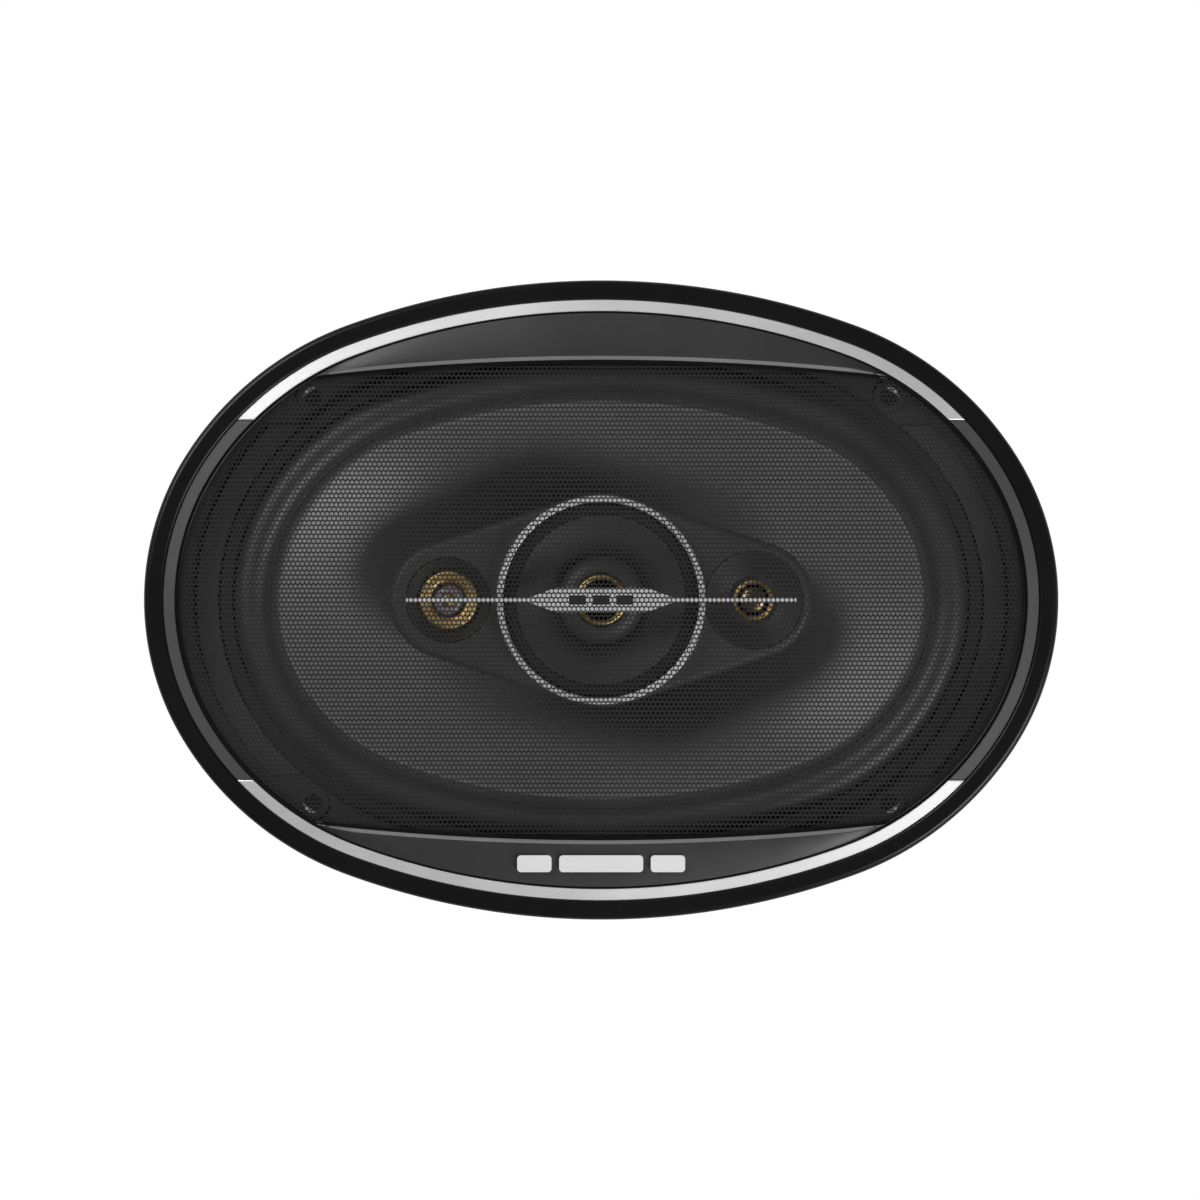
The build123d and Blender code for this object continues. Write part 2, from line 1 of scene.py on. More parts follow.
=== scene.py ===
import bpy
import bmesh
import json
import math
import numpy as np
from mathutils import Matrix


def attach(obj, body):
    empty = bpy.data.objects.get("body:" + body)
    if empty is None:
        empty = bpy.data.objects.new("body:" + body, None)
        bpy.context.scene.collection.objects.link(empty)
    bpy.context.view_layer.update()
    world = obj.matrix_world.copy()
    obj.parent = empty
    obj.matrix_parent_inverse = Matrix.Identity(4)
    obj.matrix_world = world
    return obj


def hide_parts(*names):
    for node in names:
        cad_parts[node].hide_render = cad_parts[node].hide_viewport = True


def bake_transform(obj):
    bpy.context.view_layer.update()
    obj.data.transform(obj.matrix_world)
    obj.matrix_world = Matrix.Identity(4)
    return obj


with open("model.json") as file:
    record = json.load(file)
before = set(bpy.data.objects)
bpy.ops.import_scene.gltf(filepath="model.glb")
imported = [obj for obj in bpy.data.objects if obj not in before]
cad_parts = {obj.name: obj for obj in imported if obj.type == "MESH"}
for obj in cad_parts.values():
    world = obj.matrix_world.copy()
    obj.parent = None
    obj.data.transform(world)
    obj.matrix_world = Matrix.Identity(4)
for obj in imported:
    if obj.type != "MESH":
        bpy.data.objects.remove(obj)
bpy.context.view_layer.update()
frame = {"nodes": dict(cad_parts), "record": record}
nodes = frame["nodes"]
scene = bpy.context.scene
print("stage: frame loaded,", len(nodes), "nodes")

mm = 0.001
bumpDepth = 0.0002

# the oval that the grille, the basket and the cone share: tangent arcs at the end, shoulder and flank
ovalShape = {
    "endTurn": math.radians(32),
    "flankTurn": math.radians(70),
    "shoulderRatio": 1.187,
}
grilleSize = {
    "face": (120.0, 83.9),
    "bezelTop": 15.5,
    "bedTop": 14.0,
    "bedLow": 12.6,
    "skirt": 2.2,
    "trimInset": 5.1,
    "trimWidth": 3.0,
    "trimEnd": 47.2,
    "insertInset": 8.6,
    "openingInset": 9.2,
    "archRadius": 665.0,
    "archMid": 63.0,
}
rollSize = {"semi": (92.7, 59.7), "radius": 4.6, "wall": 0.6, "low": 1.55}


def ovalPoints(semi, phi, grow=0.0, ratio=None):
    # centre of the arc that owns normal angle phi, plus its radius along the normal
    ratio = ovalShape["shoulderRatio"] if ratio is None else ratio
    a, b = ovalShape["endTurn"], ovalShape["flankTurn"]
    p = 1 + (ratio - 1) * math.cos(a) - ratio * math.cos(b)
    q = ratio * math.sin(b) - (ratio - 1) * math.sin(a)
    det = p * (1 - math.sin(b)) - q * math.cos(b)
    rEnd = (semi[0] * (1 - math.sin(b)) - semi[1] * math.cos(b)) / det
    rFlank = (semi[1] * p - semi[0] * q) / det
    rShoulder = ratio * rEnd
    endX = semi[0] - rEnd
    shoulderX = endX + (rEnd - rShoulder) * math.cos(a)
    shoulderY = (rEnd - rShoulder) * math.sin(a)
    c, s = np.cos(phi), np.sin(phi)
    turn = np.arctan2(np.abs(s), np.abs(c))
    cx = np.where(turn < a, endX, np.where(turn < b, shoulderX, 0.0))
    cy = np.where(turn < a, 0.0, np.where(turn < b, shoulderY, semi[1] - rFlank))
    radius = np.where(turn < a, rEnd, np.where(turn < b, rShoulder, rFlank)) + grow
    return np.sign(c) * cx + radius * c, np.sign(s) * cy + radius * s


def evenAngles(semi, count):
    # normal angles at even steps of arc length round the oval
    dense = np.linspace(0, 2 * np.pi, 4001)
    x, y = ovalPoints(semi, dense)
    run = np.concatenate([[0], np.cumsum(np.hypot(np.diff(x), np.diff(y)))])
    return np.interp(np.linspace(0, run[-1], count, endpoint=False), run, dense)


def roundedLine(points, radius, steps=4, closed=True):
    # each corner becomes a parabolic arc, with a holding point on the straight either side of it
    pts = np.asarray(points, float)
    before = np.roll(pts, 1, axis=0) - pts
    after = np.roll(pts, -1, axis=0) - pts
    lengthBefore = np.linalg.norm(before, axis=1, keepdims=True)
    lengthAfter = np.linalg.norm(after, axis=1, keepdims=True)
    reach = np.minimum(radius, 0.42 * np.minimum(lengthBefore, lengthAfter))
    a = pts + before / lengthBefore * reach
    b = pts + after / lengthAfter * reach
    t = np.linspace(0, 1, steps + 1)[None, :, None]
    arc = (1 - t) ** 2 * a[:, None] + 2 * t * (1 - t) * pts[:, None] + t ** 2 * b[:, None]
    holdA = (pts + before / lengthBefore * reach * 1.18)[:, None]
    holdB = (pts + after / lengthAfter * reach * 1.18)[:, None]
    rows = np.concatenate([holdA, arc, holdB], axis=1)
    if closed:
        return rows.reshape(-1, 2)
    inner = rows[1:-1].reshape(-1, 2)
    return np.concatenate([pts[:1], inner, pts[-1:]])


def gridFaces(rows, columns, wrapRows, wrapColumns):
    # index of each quad's corners on a rows x columns grid
    i = np.arange(rows if wrapRows else rows - 1)[:, None]
    j = np.arange(columns if wrapColumns else columns - 1)[None, :]
    nextI, nextJ = (i + 1) % rows, (j + 1) % columns
    quad = np.stack([i * columns + j + 0 * i, nextI * columns + j, nextI * columns + nextJ,
                     i * columns + nextJ], axis=-1)
    return quad.reshape(-1, 4)


def meshPiece(name, vertices, faces, uv=None, poles=False):
    # arrays of corners and quads become one closed mesh, turned so that its volume is positive
    v = np.asarray(vertices, float).reshape(-1, 3) * mm
    f = np.asarray(faces, np.int64).reshape(-1, 4)
    p = v[f]
    normal = np.cross(p[:, 2] - p[:, 0], p[:, 3] - p[:, 1])
    if np.einsum("ij,ij->", normal, p.mean(axis=1)) < 0:
        f = f[:, ::-1]
        uv = None if uv is None else uv[:, ::-1]
    mesh = bpy.data.meshes.new(name)
    mesh.vertices.add(len(v))
    mesh.vertices.foreach_set("co", v.ravel())
    mesh.loops.add(f.size)
    mesh.loops.foreach_set("vertex_index", f.ravel().astype(np.int32))
    mesh.polygons.add(len(f))
    mesh.polygons.foreach_set("loop_start", np.arange(0, f.size, 4, dtype=np.int32))
    mesh.update(calc_edges=True)
    if uv is not None:
        mesh.uv_layers.new(name="surface").data.foreach_set("uv", uv.reshape(-1).astype(np.float32))
    if poles:
        work = bmesh.new()
        work.from_mesh(mesh)
        bmesh.ops.remove_doubles(work, verts=work.verts, dist=1e-7)
        work.to_mesh(mesh)
        work.free()
    mesh.validate()
    mesh.shade_smooth()
    piece = bpy.data.objects.new(name, mesh)
    scene.collection.objects.link(piece)
    return piece


def sweepOval(name, semi, profile, count=360):
    # the closed profile (outward, height) carried round the oval along its normals
    phi = evenAngles(semi, count)
    prof = np.asarray(profile, float)
    x, y = ovalPoints(semi, phi[:, None], prof[None, :, 0])
    z = np.broadcast_to(prof[None, :, 1], x.shape)
    along = np.concatenate([[0], np.cumsum(np.hypot(*np.diff(prof, axis=0).T))])
    return surfaceGrid(name, np.stack([x, y, z], -1), True, True, along)


def surfaceGrid(name, points, wrapRows, wrapColumns, across=None, poles=False):
    # grid of points to a mesh; its UV runs in metres along the rows and across the columns
    rows, columns = points.shape[:2]
    faces = gridFaces(rows, columns, wrapRows, wrapColumns)
    if across is None:
        across = np.arange(columns, dtype=float)
    middle = points[:, columns // 2]
    step = np.linalg.norm(np.roll(middle, -1, axis=0) - middle, axis=1)
    run = np.concatenate([[0], np.cumsum(step)]) * mm
    over = np.append(across, across[-1] + 1.0) * mm
    i, j = np.divmod(faces[:, 0], columns)
    uv = np.stack([np.stack([run[i], over[j]], -1), np.stack([run[i + 1], over[j]], -1),
                   np.stack([run[i + 1], over[j + 1]], -1), np.stack([run[i], over[j + 1]], -1)], axis=1)
    return meshPiece(name, points, faces, uv, poles)


def lathe(name, profile, centreX=0.0, segments=128):
    # the profile (radius, height) turned about the upright line through centreX
    prof = np.asarray(profile, float)
    angle = np.linspace(0, 2 * np.pi, segments, endpoint=False)[:, None]
    x = centreX + prof[None, :, 0] * np.cos(angle)
    y = prof[None, :, 0] * np.sin(angle)
    z = np.broadcast_to(prof[None, :, 1], x.shape)
    onAxis = bool(prof[0, 0] < 1e-6)
    along = np.concatenate([[0], np.cumsum(np.hypot(*np.diff(prof, axis=0).T))])
    return surfaceGrid(name, np.stack([x, y, z], -1), True, not onAxis, along, poles=onAxis)


def capEnds(piece):
    # open ends are filled with one face each and every face is turned outwards
    work = bmesh.new()
    work.from_mesh(piece.data)
    bmesh.ops.holes_fill(work, edges=[e for e in work.edges if e.is_boundary])
    bmesh.ops.recalc_face_normals(work, faces=work.faces)
    work.to_mesh(piece.data)
    work.free()
    piece.data.shade_smooth()
    return piece


def finishOf(slotName):
    # a slot such as roll_rubber wears the finish rollRubber
    first, *rest = slotName.split("_")
    return finishes[first + "".join(word.title() for word in rest)]


def place(piece, body, slotName, *cadNodes, finish=None):
    # a new piece: its finish, its body and the CAD nodes that it stands for
    piece.data.materials.clear()
    piece.data.materials.append(finishes[finish] if finish else finishOf(slotName))
    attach(piece, body)
    if cadNodes:
        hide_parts(*cadNodes)
    return piece


# shader node groups: each puts out heights, masks and variations for the materials to use


def newGroup(name, valueInput, outputs):
    # every group takes a vector and one value
    group = bpy.data.node_groups.new(name, "ShaderNodeTree")
    group.interface.new_socket(name="Vector", in_out="INPUT", socket_type="NodeSocketVector")
    value = group.interface.new_socket(name=valueInput[0], in_out="INPUT", socket_type="NodeSocketFloat")
    value.default_value = valueInput[1]
    for label in outputs:
        group.interface.new_socket(name=label, in_out="OUTPUT", socket_type="NodeSocketFloat")
    given = group.nodes.new("NodeGroupInput")
    return group, given.outputs[0], given.outputs[1], group.nodes.new("NodeGroupOutput")


def addNode(tree, kind, links=(), **values):
    # links are (input name or number, output socket) pairs; values set the node's own properties
    node = tree.nodes.new("ShaderNode" + kind)
    for label, value in values.items():
        setattr(node, label, value)
    return setLinks(node, tree, links)


def mathNode(tree, operation, *terms):
    node = addNode(tree, "Math", list(enumerate(terms)), operation=operation)
    return node.outputs[0]


def setLinks(node, tree, links):
    # a link's source is an output socket, or a value for the socket itself
    for key, source in links:
        if hasattr(source, "is_output"):
            tree.links.new(source, node.inputs[key])
        else:
            node.inputs[key].default_value = source
    return node


def noiseFac(tree, vector, scale, detail=2.0, rough=0.5):
    node = addNode(tree, "TexNoise", [("Vector", vector), ("Scale", scale), ("Detail", detail),
                                                ("Roughness", rough)])
    return node.outputs["Fac"]


def makeGrainGroup():
    # fine moulded or painted grain: two sizes of noise for height, and a slow cloud for tone
    group, vector, scale, result = newGroup("fineGrain", ("Scale", 3000.0), ["Height", "Tone"])
    fine = noiseFac(group, vector, scale, 3.0)
    second = noiseFac(group, vector, mathNode(group, "MULTIPLY", scale, 0.22))
    height = mathNode(group, "MULTIPLY_ADD", second, 0.6, fine)
    setLinks(result, group, [("Height", height), ("Tone", noiseFac(group, vector, 38.0, 4.0, 0.6))])
    return group


def makeWearGroup():
    # handling marks: sparse dust specks, and long hair scratches from stretched noise
    group, vector, amount, result = newGroup("handling", ("Amount", 0.5), ["Dust", "Scratch"])
    specks = addNode(group, "TexVoronoi", [("Vector", vector), ("Scale", 420.0)])
    speck = mathNode(group, "LESS_THAN", specks.outputs["Distance"], 0.1)
    patch = mathNode(group, "GREATER_THAN", noiseFac(group, vector, 60.0), 0.56)
    dust = mathNode(group, "MULTIPLY", mathNode(group, "MULTIPLY", speck, patch), amount)
    stretch = addNode(group, "Mapping", [("Vector", vector), ("Rotation", (0.3, 0.2, 0.7)),
                                                   ("Scale", (40, 1400, 900))])
    hair = mathNode(group, "GREATER_THAN", noiseFac(group, stretch.outputs["Vector"], 1.0, 1.0), 0.66)
    setLinks(result, group, [("Dust", dust), ("Scratch", mathNode(group, "MULTIPLY", hair, amount))])
    return group


def makeBrushGroup():
    # brushed lines: noise squeezed across the brushing direction, which is the vector's X
    group, vector, lines, result = newGroup("brushedLines", ("Lines", 5200.0), ["Height", "Tone"])
    squeeze = addNode(group, "CombineXYZ", [(0, 24.0), (1, lines), (2, lines)])
    scaled = addNode(group, "VectorMath", [(0, vector), (1, squeeze.outputs[0])], operation="MULTIPLY")
    brushed = noiseFac(group, scaled.outputs[0], 1.0, 4.0, 0.7)
    tone = mathNode(group, "MULTIPLY_ADD", brushed, 0.5, 0.25)
    setLinks(result, group, [("Height", brushed), ("Tone", tone)])
    return group


def makeWeaveGroup():
    # plain weave on a UV in metres: two sets of rounded threads, each over the other in turn
    group, vector, threads, result = newGroup("plainWeave", ("Threads", 1600.0), ["Height", "Gap"])
    split = addNode(group, "SeparateXYZ", [(0, vector)])
    turns = mathNode(group, "MULTIPLY", threads, 2 * math.pi)
    warp, weft = (mathNode(group, "SINE", mathNode(group, "MULTIPLY", split.outputs[axis], turns))
                  for axis in (0, 1))
    body = mathNode(group, "MAXIMUM", mathNode(group, "ABSOLUTE", warp), mathNode(group, "ABSOLUTE", weft))
    height = mathNode(group, "MULTIPLY_ADD", mathNode(group, "MULTIPLY", warp, weft), 0.35, body)
    setLinks(result, group, [("Height", height), ("Gap", mathNode(group, "LESS_THAN", body, 0.42))])
    return group


def makeTurnedGroup():
    # lathe lines: rings of noise round the upright line through the vector's origin
    group, vector, lines, result = newGroup("turnedLines", ("Lines", 5000.0), ["Height", "Tone"])
    x, y, z = addNode(group, "SeparateXYZ", [(0, vector)]).outputs
    squareX = mathNode(group, "MULTIPLY", x, x)
    reach = mathNode(group, "SQRT", mathNode(group, "MULTIPLY_ADD", y, y, squareX))
    both = addNode(group, "CombineXYZ", [(0, reach), (1, z)])
    scaled = addNode(group, "VectorMath", [(0, both.outputs[0]), ("Scale", lines)], operation="SCALE")
    rings = noiseFac(group, scaled.outputs[0], 1.0, 3.0)
    tone = mathNode(group, "MULTIPLY_ADD", rings, 0.6, 0.2)
    setLinks(result, group, [("Height", rings), ("Tone", tone)])
    return group


groups = {"grain": makeGrainGroup(), "wear": makeWearGroup(), "brush": makeBrushGroup(),
          "weave": makeWeaveGroup(), "turned": makeTurnedGroup()}
print("stage: shader groups made")


def groupNode(tree, name, vector, value):
    node = addNode(tree, "Group")
    node.node_tree = groups[name]
    return setLinks(node, tree, [(0, vector), (1, value)])


def startMaterial(name, metallic=0.0, coat=0.0, coatRoughness=0.03, sheen=0.0, specular=0.5):
    material = bpy.data.materials.new(name)
    material.use_nodes = True
    tree = material.node_tree
    shader = tree.nodes["Principled BSDF"]
    shader.inputs["Metallic"].default_value = metallic
    shader.inputs["Coat Weight"].default_value = coat
    shader.inputs["Coat Roughness"].default_value = coatRoughness
    shader.inputs["Sheen Weight"].default_value = sheen
    shader.inputs["Specular IOR Level"].default_value = specular
    here = addNode(tree, "TexCoord").outputs["Object"]
    return material, tree, shader, here


def toneColour(tree, shader, colour, spread, tone, dust=None, dustColour=(0.35, 0.34, 0.32)):
    # the colour swings by spread either way with tone, and dust lies over it
    base = mixColour(tree, tone, *(tuple(c * swing for c in colour) for swing in (1 - spread, 1 + spread)))
    if dust is not None:
        base = mixColour(tree, dust, base, dustColour)
    tree.links.new(base, shader.inputs["Base Color"])
    return base


def mixColour(tree, share, low, high):
    # low where the share is 0 and high where it is 1; plain colours get their alpha here
    low, high = (end + (1,) if isinstance(end, tuple) else end for end in (low, high))
    mix = addNode(tree, "Mix", [(0, share), (6, low), (7, high)], data_type="RGBA")
    return mix.outputs[2]


def mixShader(tree, share, first, second):
    return addNode(tree, "MixShader", [(0, share), (1, first), (2, second)]).outputs[0]


def roughTo(tree, shader, tone, swing, least):
    tree.links.new(mathNode(tree, "MULTIPLY_ADD", tone, swing, least), shader.inputs["Roughness"])


def bumpTo(tree, shader, height, strength):
    bump = addNode(tree, "Bump", [("Height", height), ("Strength", strength), ("Distance", bumpDepth)])
    tree.links.new(bump.outputs["Normal"], shader.inputs["Normal"])


# grain, brushed and turned finishes: what a user would change for each of them
def look(colour, rough, kind, lines, bump, spread, **more):
    # kind is the pattern's group and lines its fineness; spread is the colour's swing either way
    return {"colour": colour, "rough": rough, "kind": kind, "lines": lines, "bump": bump,
            "spread": spread, **more}


finishTable = {
    "basketPaint": look((0.052, 0.052, 0.054), 0.42, "grain", 2600, 0.3, 0.2, coat=0.15, dust=0.25),
    "gasketFoam": look((0.02, 0.02, 0.021), 0.9, "grain", 1500, 0.8, 0.3, dust=0.3),
    "zincSteel": look((0.46, 0.46, 0.45), 0.34, "turned", 3600, 0.12, 0.18, metallic=1.0),
    "ferrite": look((0.04, 0.04, 0.043), 0.46, "grain", 2200, 0.5, 0.25, dust=0.4),
    "copperCap": look((0.72, 0.4, 0.26), 0.3, "turned", 4000, 0.1, 0.12, metallic=1.0),
    "turnedSteel": look((0.5, 0.5, 0.5), 0.28, "turned", 5200, 0.15, 0.15, metallic=1.0),
    "boardLaminate": look((0.24, 0.13, 0.05), 0.4, "brush", 2600, 0.1, 0.2, coat=0.2),
    "brassRivet": look((0.66, 0.5, 0.26), 0.3, "grain", 3000, 0.1, 0.15, metallic=1.0),
    "tinBrass": look((0.62, 0.6, 0.56), 0.32, "brush", 6000, 0.12, 0.12, metallic=1.0),
    "capacitorSleeve": look((0.016, 0.03, 0.085), 0.25, "grain", 1400, 0.06, 0.1, coat=0.4),
    "podPlastic": look((0.046, 0.046, 0.047), 0.48, "grain", 4200, 0.35, 0.15, dust=0.15),
    "unitPlastic": look((0.028, 0.028, 0.029), 0.4, "grain", 4200, 0.25, 0.15),
    "screwSteel": look((0.12, 0.12, 0.12), 0.35, "turned", 4000, 0.1, 0.2, metallic=1.0),
    "brightRing": look((0.88, 0.88, 0.885), 0.52, "turned", 7000, 0.06, 0.06, metallic=1.0),
    "goldPlate": look((0.88, 0.64, 0.27), 0.38, "turned", 6000, 0.12, 0.12, metallic=1.0),
    "goldDome": look((0.42, 0.32, 0.18), 0.16, "grain", 900, 0.04, 0.12, metallic=1.0),
    "discFilm": look((0.056, 0.056, 0.058), 0.42, "turned", 3200, 0.2, 0.12),
    "midFoam": look((0.014, 0.014, 0.014), 0.95, "grain", 2200, 0.7, 0.3),
    "nickelMagnet": look((0.6, 0.58, 0.55), 0.2, "grain", 2600, 0.05, 0.08, metallic=1.0),
    "domeFilm": look((0.23, 0.19, 0.21), 0.3, "turned", 3600, 0.1, 0.12, coat=0.3),
    "leadJacket": look((0.02, 0.02, 0.02), 0.5, "grain", 2000, 0.15, 0.2),
    "formerFilm": look((0.34, 0.18, 0.05), 0.22, "grain", 900, 0.06, 0.15, coat=0.5),
    "glueBead": look((0.03, 0.03, 0.03), 0.3, "grain", 700, 0.4, 0.2),
    "bezelGloss": look((0.006, 0.006, 0.0062), 0.3, "grain", 1100, 0.012, 0.1, specular=0.2, coat=0.05,
                       dust=0.03),
    "bandPlastic": look((0.058, 0.058, 0.06), 0.42, "grain", 4200, 0.12, 0.12, dust=0.1),
    "trimSilver": look((0.88, 0.88, 0.885), 0.45, "grain", 5200, 0.05, 0.05, metallic=0.8),
    "insertBrushed": look((0.088, 0.088, 0.089), 0.36, "brush", 9000, 0.16, 0.16, metallic=0.8, dust=0.05),
    # a lighter copy of the insert's finish for its sloping cut: a painted highlight
    "insertEdge": look((0.3, 0.3, 0.305), 0.38, "brush", 9000, 0.08, 0.1, metallic=0.8),
    "badgeSilver": look((0.94, 0.94, 0.945), 0.42, "brush", 9000, 0.05, 0.04, metallic=0.4),
    "springSteel": look((0.35, 0.35, 0.35), 0.3, "brush", 5000, 0.1, 0.15, metallic=1.0),
}


def tableFinish(name, centre=(0.0, 0.0, 0.0)):
    # a finish from the table: its lines or grain, slow changes of tone and gloss, and light handling marks
    f = finishTable[name]
    metallic, coat = f.get("metallic", 0.0), f.get("coat", 0.0)
    material, tree, shader, here = startMaterial(name, metallic=metallic, coat=coat,
                                                  specular=f.get("specular", 0.5))
    moved = addNode(tree, "Mapping", [("Vector", here),
                                                ("Location", tuple(-c for c in centre))])
    pattern = groupNode(tree, f["kind"], moved.outputs["Vector"], float(f["lines"]))
    cloud = groupNode(tree, "grain", moved.outputs["Vector"], 260.0)
    wear = groupNode(tree, "wear", moved.outputs["Vector"], f.get("dust", 0.08))
    tone = mathNode(tree, "MULTIPLY_ADD", cloud.outputs["Tone"], 0.6,
                    mathNode(tree, "MULTIPLY", pattern.outputs["Tone"], 0.4))
    toneColour(tree, shader, f["colour"], f["spread"], tone, wear.outputs["Dust"])
    gloss = mathNode(tree, "MULTIPLY_ADD", tone, 0.16, f["rough"] - 0.08)
    scratched = mathNode(tree, "MULTIPLY_ADD", wear.outputs["Scratch"], 0.25, gloss)
    tree.links.new(scratched, shader.inputs["Roughness"])
    bumpTo(tree, shader, pattern.outputs["Height"], f["bump"])
    return material


finishes = {name: tableFinish(name) for name in finishTable}
finishes["goldLeft"] = tableFinish("goldPlate", centre=(-0.0404, 0, 0))
finishes["goldRight"] = tableFinish("goldPlate", centre=(0.0404, 0, 0))
finishes["domeLeft"] = tableFinish("domeFilm", centre=(-0.0404, 0, 0))


def meshPaintFinish():
    # satin black steel; part of the lamps' light passes it, as the holes let in more than few samples find
    material, tree, shader, here = startMaterial("meshPaint", specular=meshPaint["specular"])
    grain = groupNode(tree, "grain", here, 2400.0)
    toneColour(tree, shader, meshPaint["colour"], 0.18, grain.outputs["Tone"])
    roughTo(tree, shader, grain.outputs["Tone"], 0.2, meshPaint["rough"] - 0.1)
    bumpTo(tree, shader, grain.outputs["Height"], 0.1)
    ray = addNode(tree, "LightPath")
    passing = mathNode(tree, "MULTIPLY", ray.outputs["Is Shadow Ray"], meshPaint["lightThrough"])
    both = mixShader(tree, passing, shader.outputs[0], addNode(tree, "BsdfTransparent").outputs[0])
    tree.links.new(both, tree.nodes["Material Output"].inputs["Surface"])
    return material


meshPaint = {"colour": (0.0165, 0.0165, 0.0168), "rough": 0.46, "specular": 0.3, "lightThrough": 0.8}
finishes["meshPaint"] = meshPaintFinish()


def barFinish():
    # satin silver with three plain dark bars printed across the middle of its plate
    material, tree, shader, here = startMaterial("barSilver", metallic=0.55)
    grain = groupNode(tree, "grain", here, 5200.0)
    wear = groupNode(tree, "wear", here, 0.08)
    x, y, z = addNode(tree, "SeparateXYZ", [(0, here)]).outputs
    saw = mathNode(tree, "FRACT", mathNode(tree, "MULTIPLY_ADD", x, 1 / (barMark["pitch"] * mm), 0.5))
    fromMiddle = mathNode(tree, "ABSOLUTE", mathNode(tree, "SUBTRACT", saw, 0.5))
    bar = mathNode(tree, "LESS_THAN", fromMiddle, barMark["share"] / 2)
    printed = barMark["pitch"] * barMark["bars"] / 2 * mm
    inX = mathNode(tree, "LESS_THAN", mathNode(tree, "ABSOLUTE", x), printed)
    inY = mathNode(tree, "LESS_THAN", mathNode(tree, "ABSOLUTE", y), barMark["half"] * mm)
    ink = mathNode(tree, "MULTIPLY", mathNode(tree, "MULTIPLY", bar, inX), inY)
    base = toneColour(tree, shader, barMark["silver"], 0.05, grain.outputs["Tone"], wear.outputs["Dust"])
    over = mixColour(tree, ink, base, barMark["ink"])
    tree.links.new(over, shader.inputs["Base Color"])
    roughTo(tree, shader, grain.outputs["Tone"], 0.1, 0.4)
    tree.links.new(mathNode(tree, "MULTIPLY_ADD", ink, -0.55, 0.55), shader.inputs["Metallic"])
    bumpTo(tree, shader, grain.outputs["Height"], 0.05)
    return material


# bars on the centre plate: mm from one to the next, the share that is printed, how many, half height
barMark = {"pitch": 6.2, "share": 0.72, "bars": 3, "half": 1.25, "silver": (0.80, 0.80, 0.805),
           "ink": (0.012, 0.012, 0.012)}
finishes["barSilver"] = barFinish()


def radiusRamp(tree, here, start, stop):
    # 0 inside the start radius and 1 outside the stop radius, in mm from the upright axis
    x, y, z = addNode(tree, "SeparateXYZ", [(0, here)]).outputs
    flat = addNode(tree, "CombineXYZ", [(0, x), (1, y)])
    reach = addNode(tree, "VectorMath", [(0, flat.outputs[0])], operation="LENGTH")
    ramp = addNode(tree, "MapRange", [("Value", reach.outputs["Value"]), ("From Min", start * mm),
                                                ("From Max", stop * mm)])
    return ramp.outputs[0]


def cupFinish():
    # gold lip round a bowl coloured dark brown as painted shade in the bore: the colour turns at a radius
    # round the upright axis
    material, tree, shader, here = startMaterial("goldCup", metallic=1.0)
    turned = groupNode(tree, "turned", here, 6000.0)
    lip = radiusRamp(tree, here, cupPaint["bowl"], cupPaint["lip"])
    gold = toneColour(tree, shader, cupPaint["gold"], 0.1, turned.outputs["Tone"])
    # painted shade: inside the bowl radius the gold gives way to the dark inside colour
    over = mixColour(tree, lip, cupPaint["inside"], gold)
    tree.links.new(over, shader.inputs["Base Color"])
    roughTo(tree, shader, turned.outputs["Tone"], 0.16, 0.28)
    bumpTo(tree, shader, turned.outputs["Height"], 0.1)
    return material


def midPaperFinish():
    # pressed paper with faint rings, with painted shade in the valley beside the disc
    material, tree, shader, here = startMaterial("midPaper")
    rings = groupNode(tree, "turned", here, 2600.0)
    grain = groupNode(tree, "grain", here, 2200.0)
    outer = radiusRamp(tree, here, midPaint["valley"], midPaint["clear"])
    base = toneColour(tree, shader, midPaint["colour"], 0.2, rings.outputs["Tone"])
    # painted shade: the dark colour inside the valley radius, fading out by the clear radius
    over = mixColour(tree, outer, midPaint["dark"], base)
    tree.links.new(over, shader.inputs["Base Color"])
    roughTo(tree, shader, grain.outputs["Tone"], 0.16, 0.5)
    height = mathNode(tree, "MULTIPLY_ADD", rings.outputs["Height"], 0.8, grain.outputs["Height"])
    bumpTo(tree, shader, height, 0.45)
    return material


# the dark colour here is painted shade for the valley beside the disc
midPaint = {"colour": (0.048, 0.048, 0.049), "dark": (0.006, 0.006, 0.006), "valley": 12.5, "clear": 17.5}
finishes["midPaper"] = midPaperFinish()
# the inside colour is painted shade in the plug's bore
cupPaint = {"gold": (0.90, 0.68, 0.30), "inside": (0.04, 0.026, 0.012), "bowl": 5.1, "lip": 5.9}
finishes["goldCup"] = cupFinish()


def coneFinish():
    # pressed fibre with mica flecks: fine speckle, faint rings from the pressing, slow tone
    material, tree, shader, here = startMaterial("coneFibre", sheen=0.15)
    shader.inputs["Sheen Roughness"].default_value = 0.4
    shader.inputs["Specular IOR Level"].default_value = conePaint["specular"]
    grain = groupNode(tree, "grain", here, 1700.0)
    rings = groupNode(tree, "turned", here, 900.0)
    flecks = addNode(tree, "TexVoronoi", [("Vector", here), ("Scale", 900.0)])
    fleck = mathNode(tree, "LESS_THAN", flecks.outputs["Distance"], 0.16)
    tone = mathNode(tree, "MULTIPLY_ADD", grain.outputs["Tone"], 0.7,
                    mathNode(tree, "MULTIPLY", rings.outputs["Tone"], 0.3))
    toneColour(tree, shader, conePaint["colour"], 0.16, tone, mathNode(tree, "MULTIPLY", fleck, 0.12))
    roughTo(tree, shader, tone, 0.2, conePaint["rough"] - 0.1)
    height = mathNode(tree, "MULTIPLY_ADD", rings.outputs["Height"], 0.5, grain.outputs["Height"])
    bumpTo(tree, shader, height, 0.35)
    return material


conePaint = {"colour": (0.15, 0.15, 0.152), "rough": 0.42, "specular": 0.8}
finishes["coneFibre"] = coneFinish()


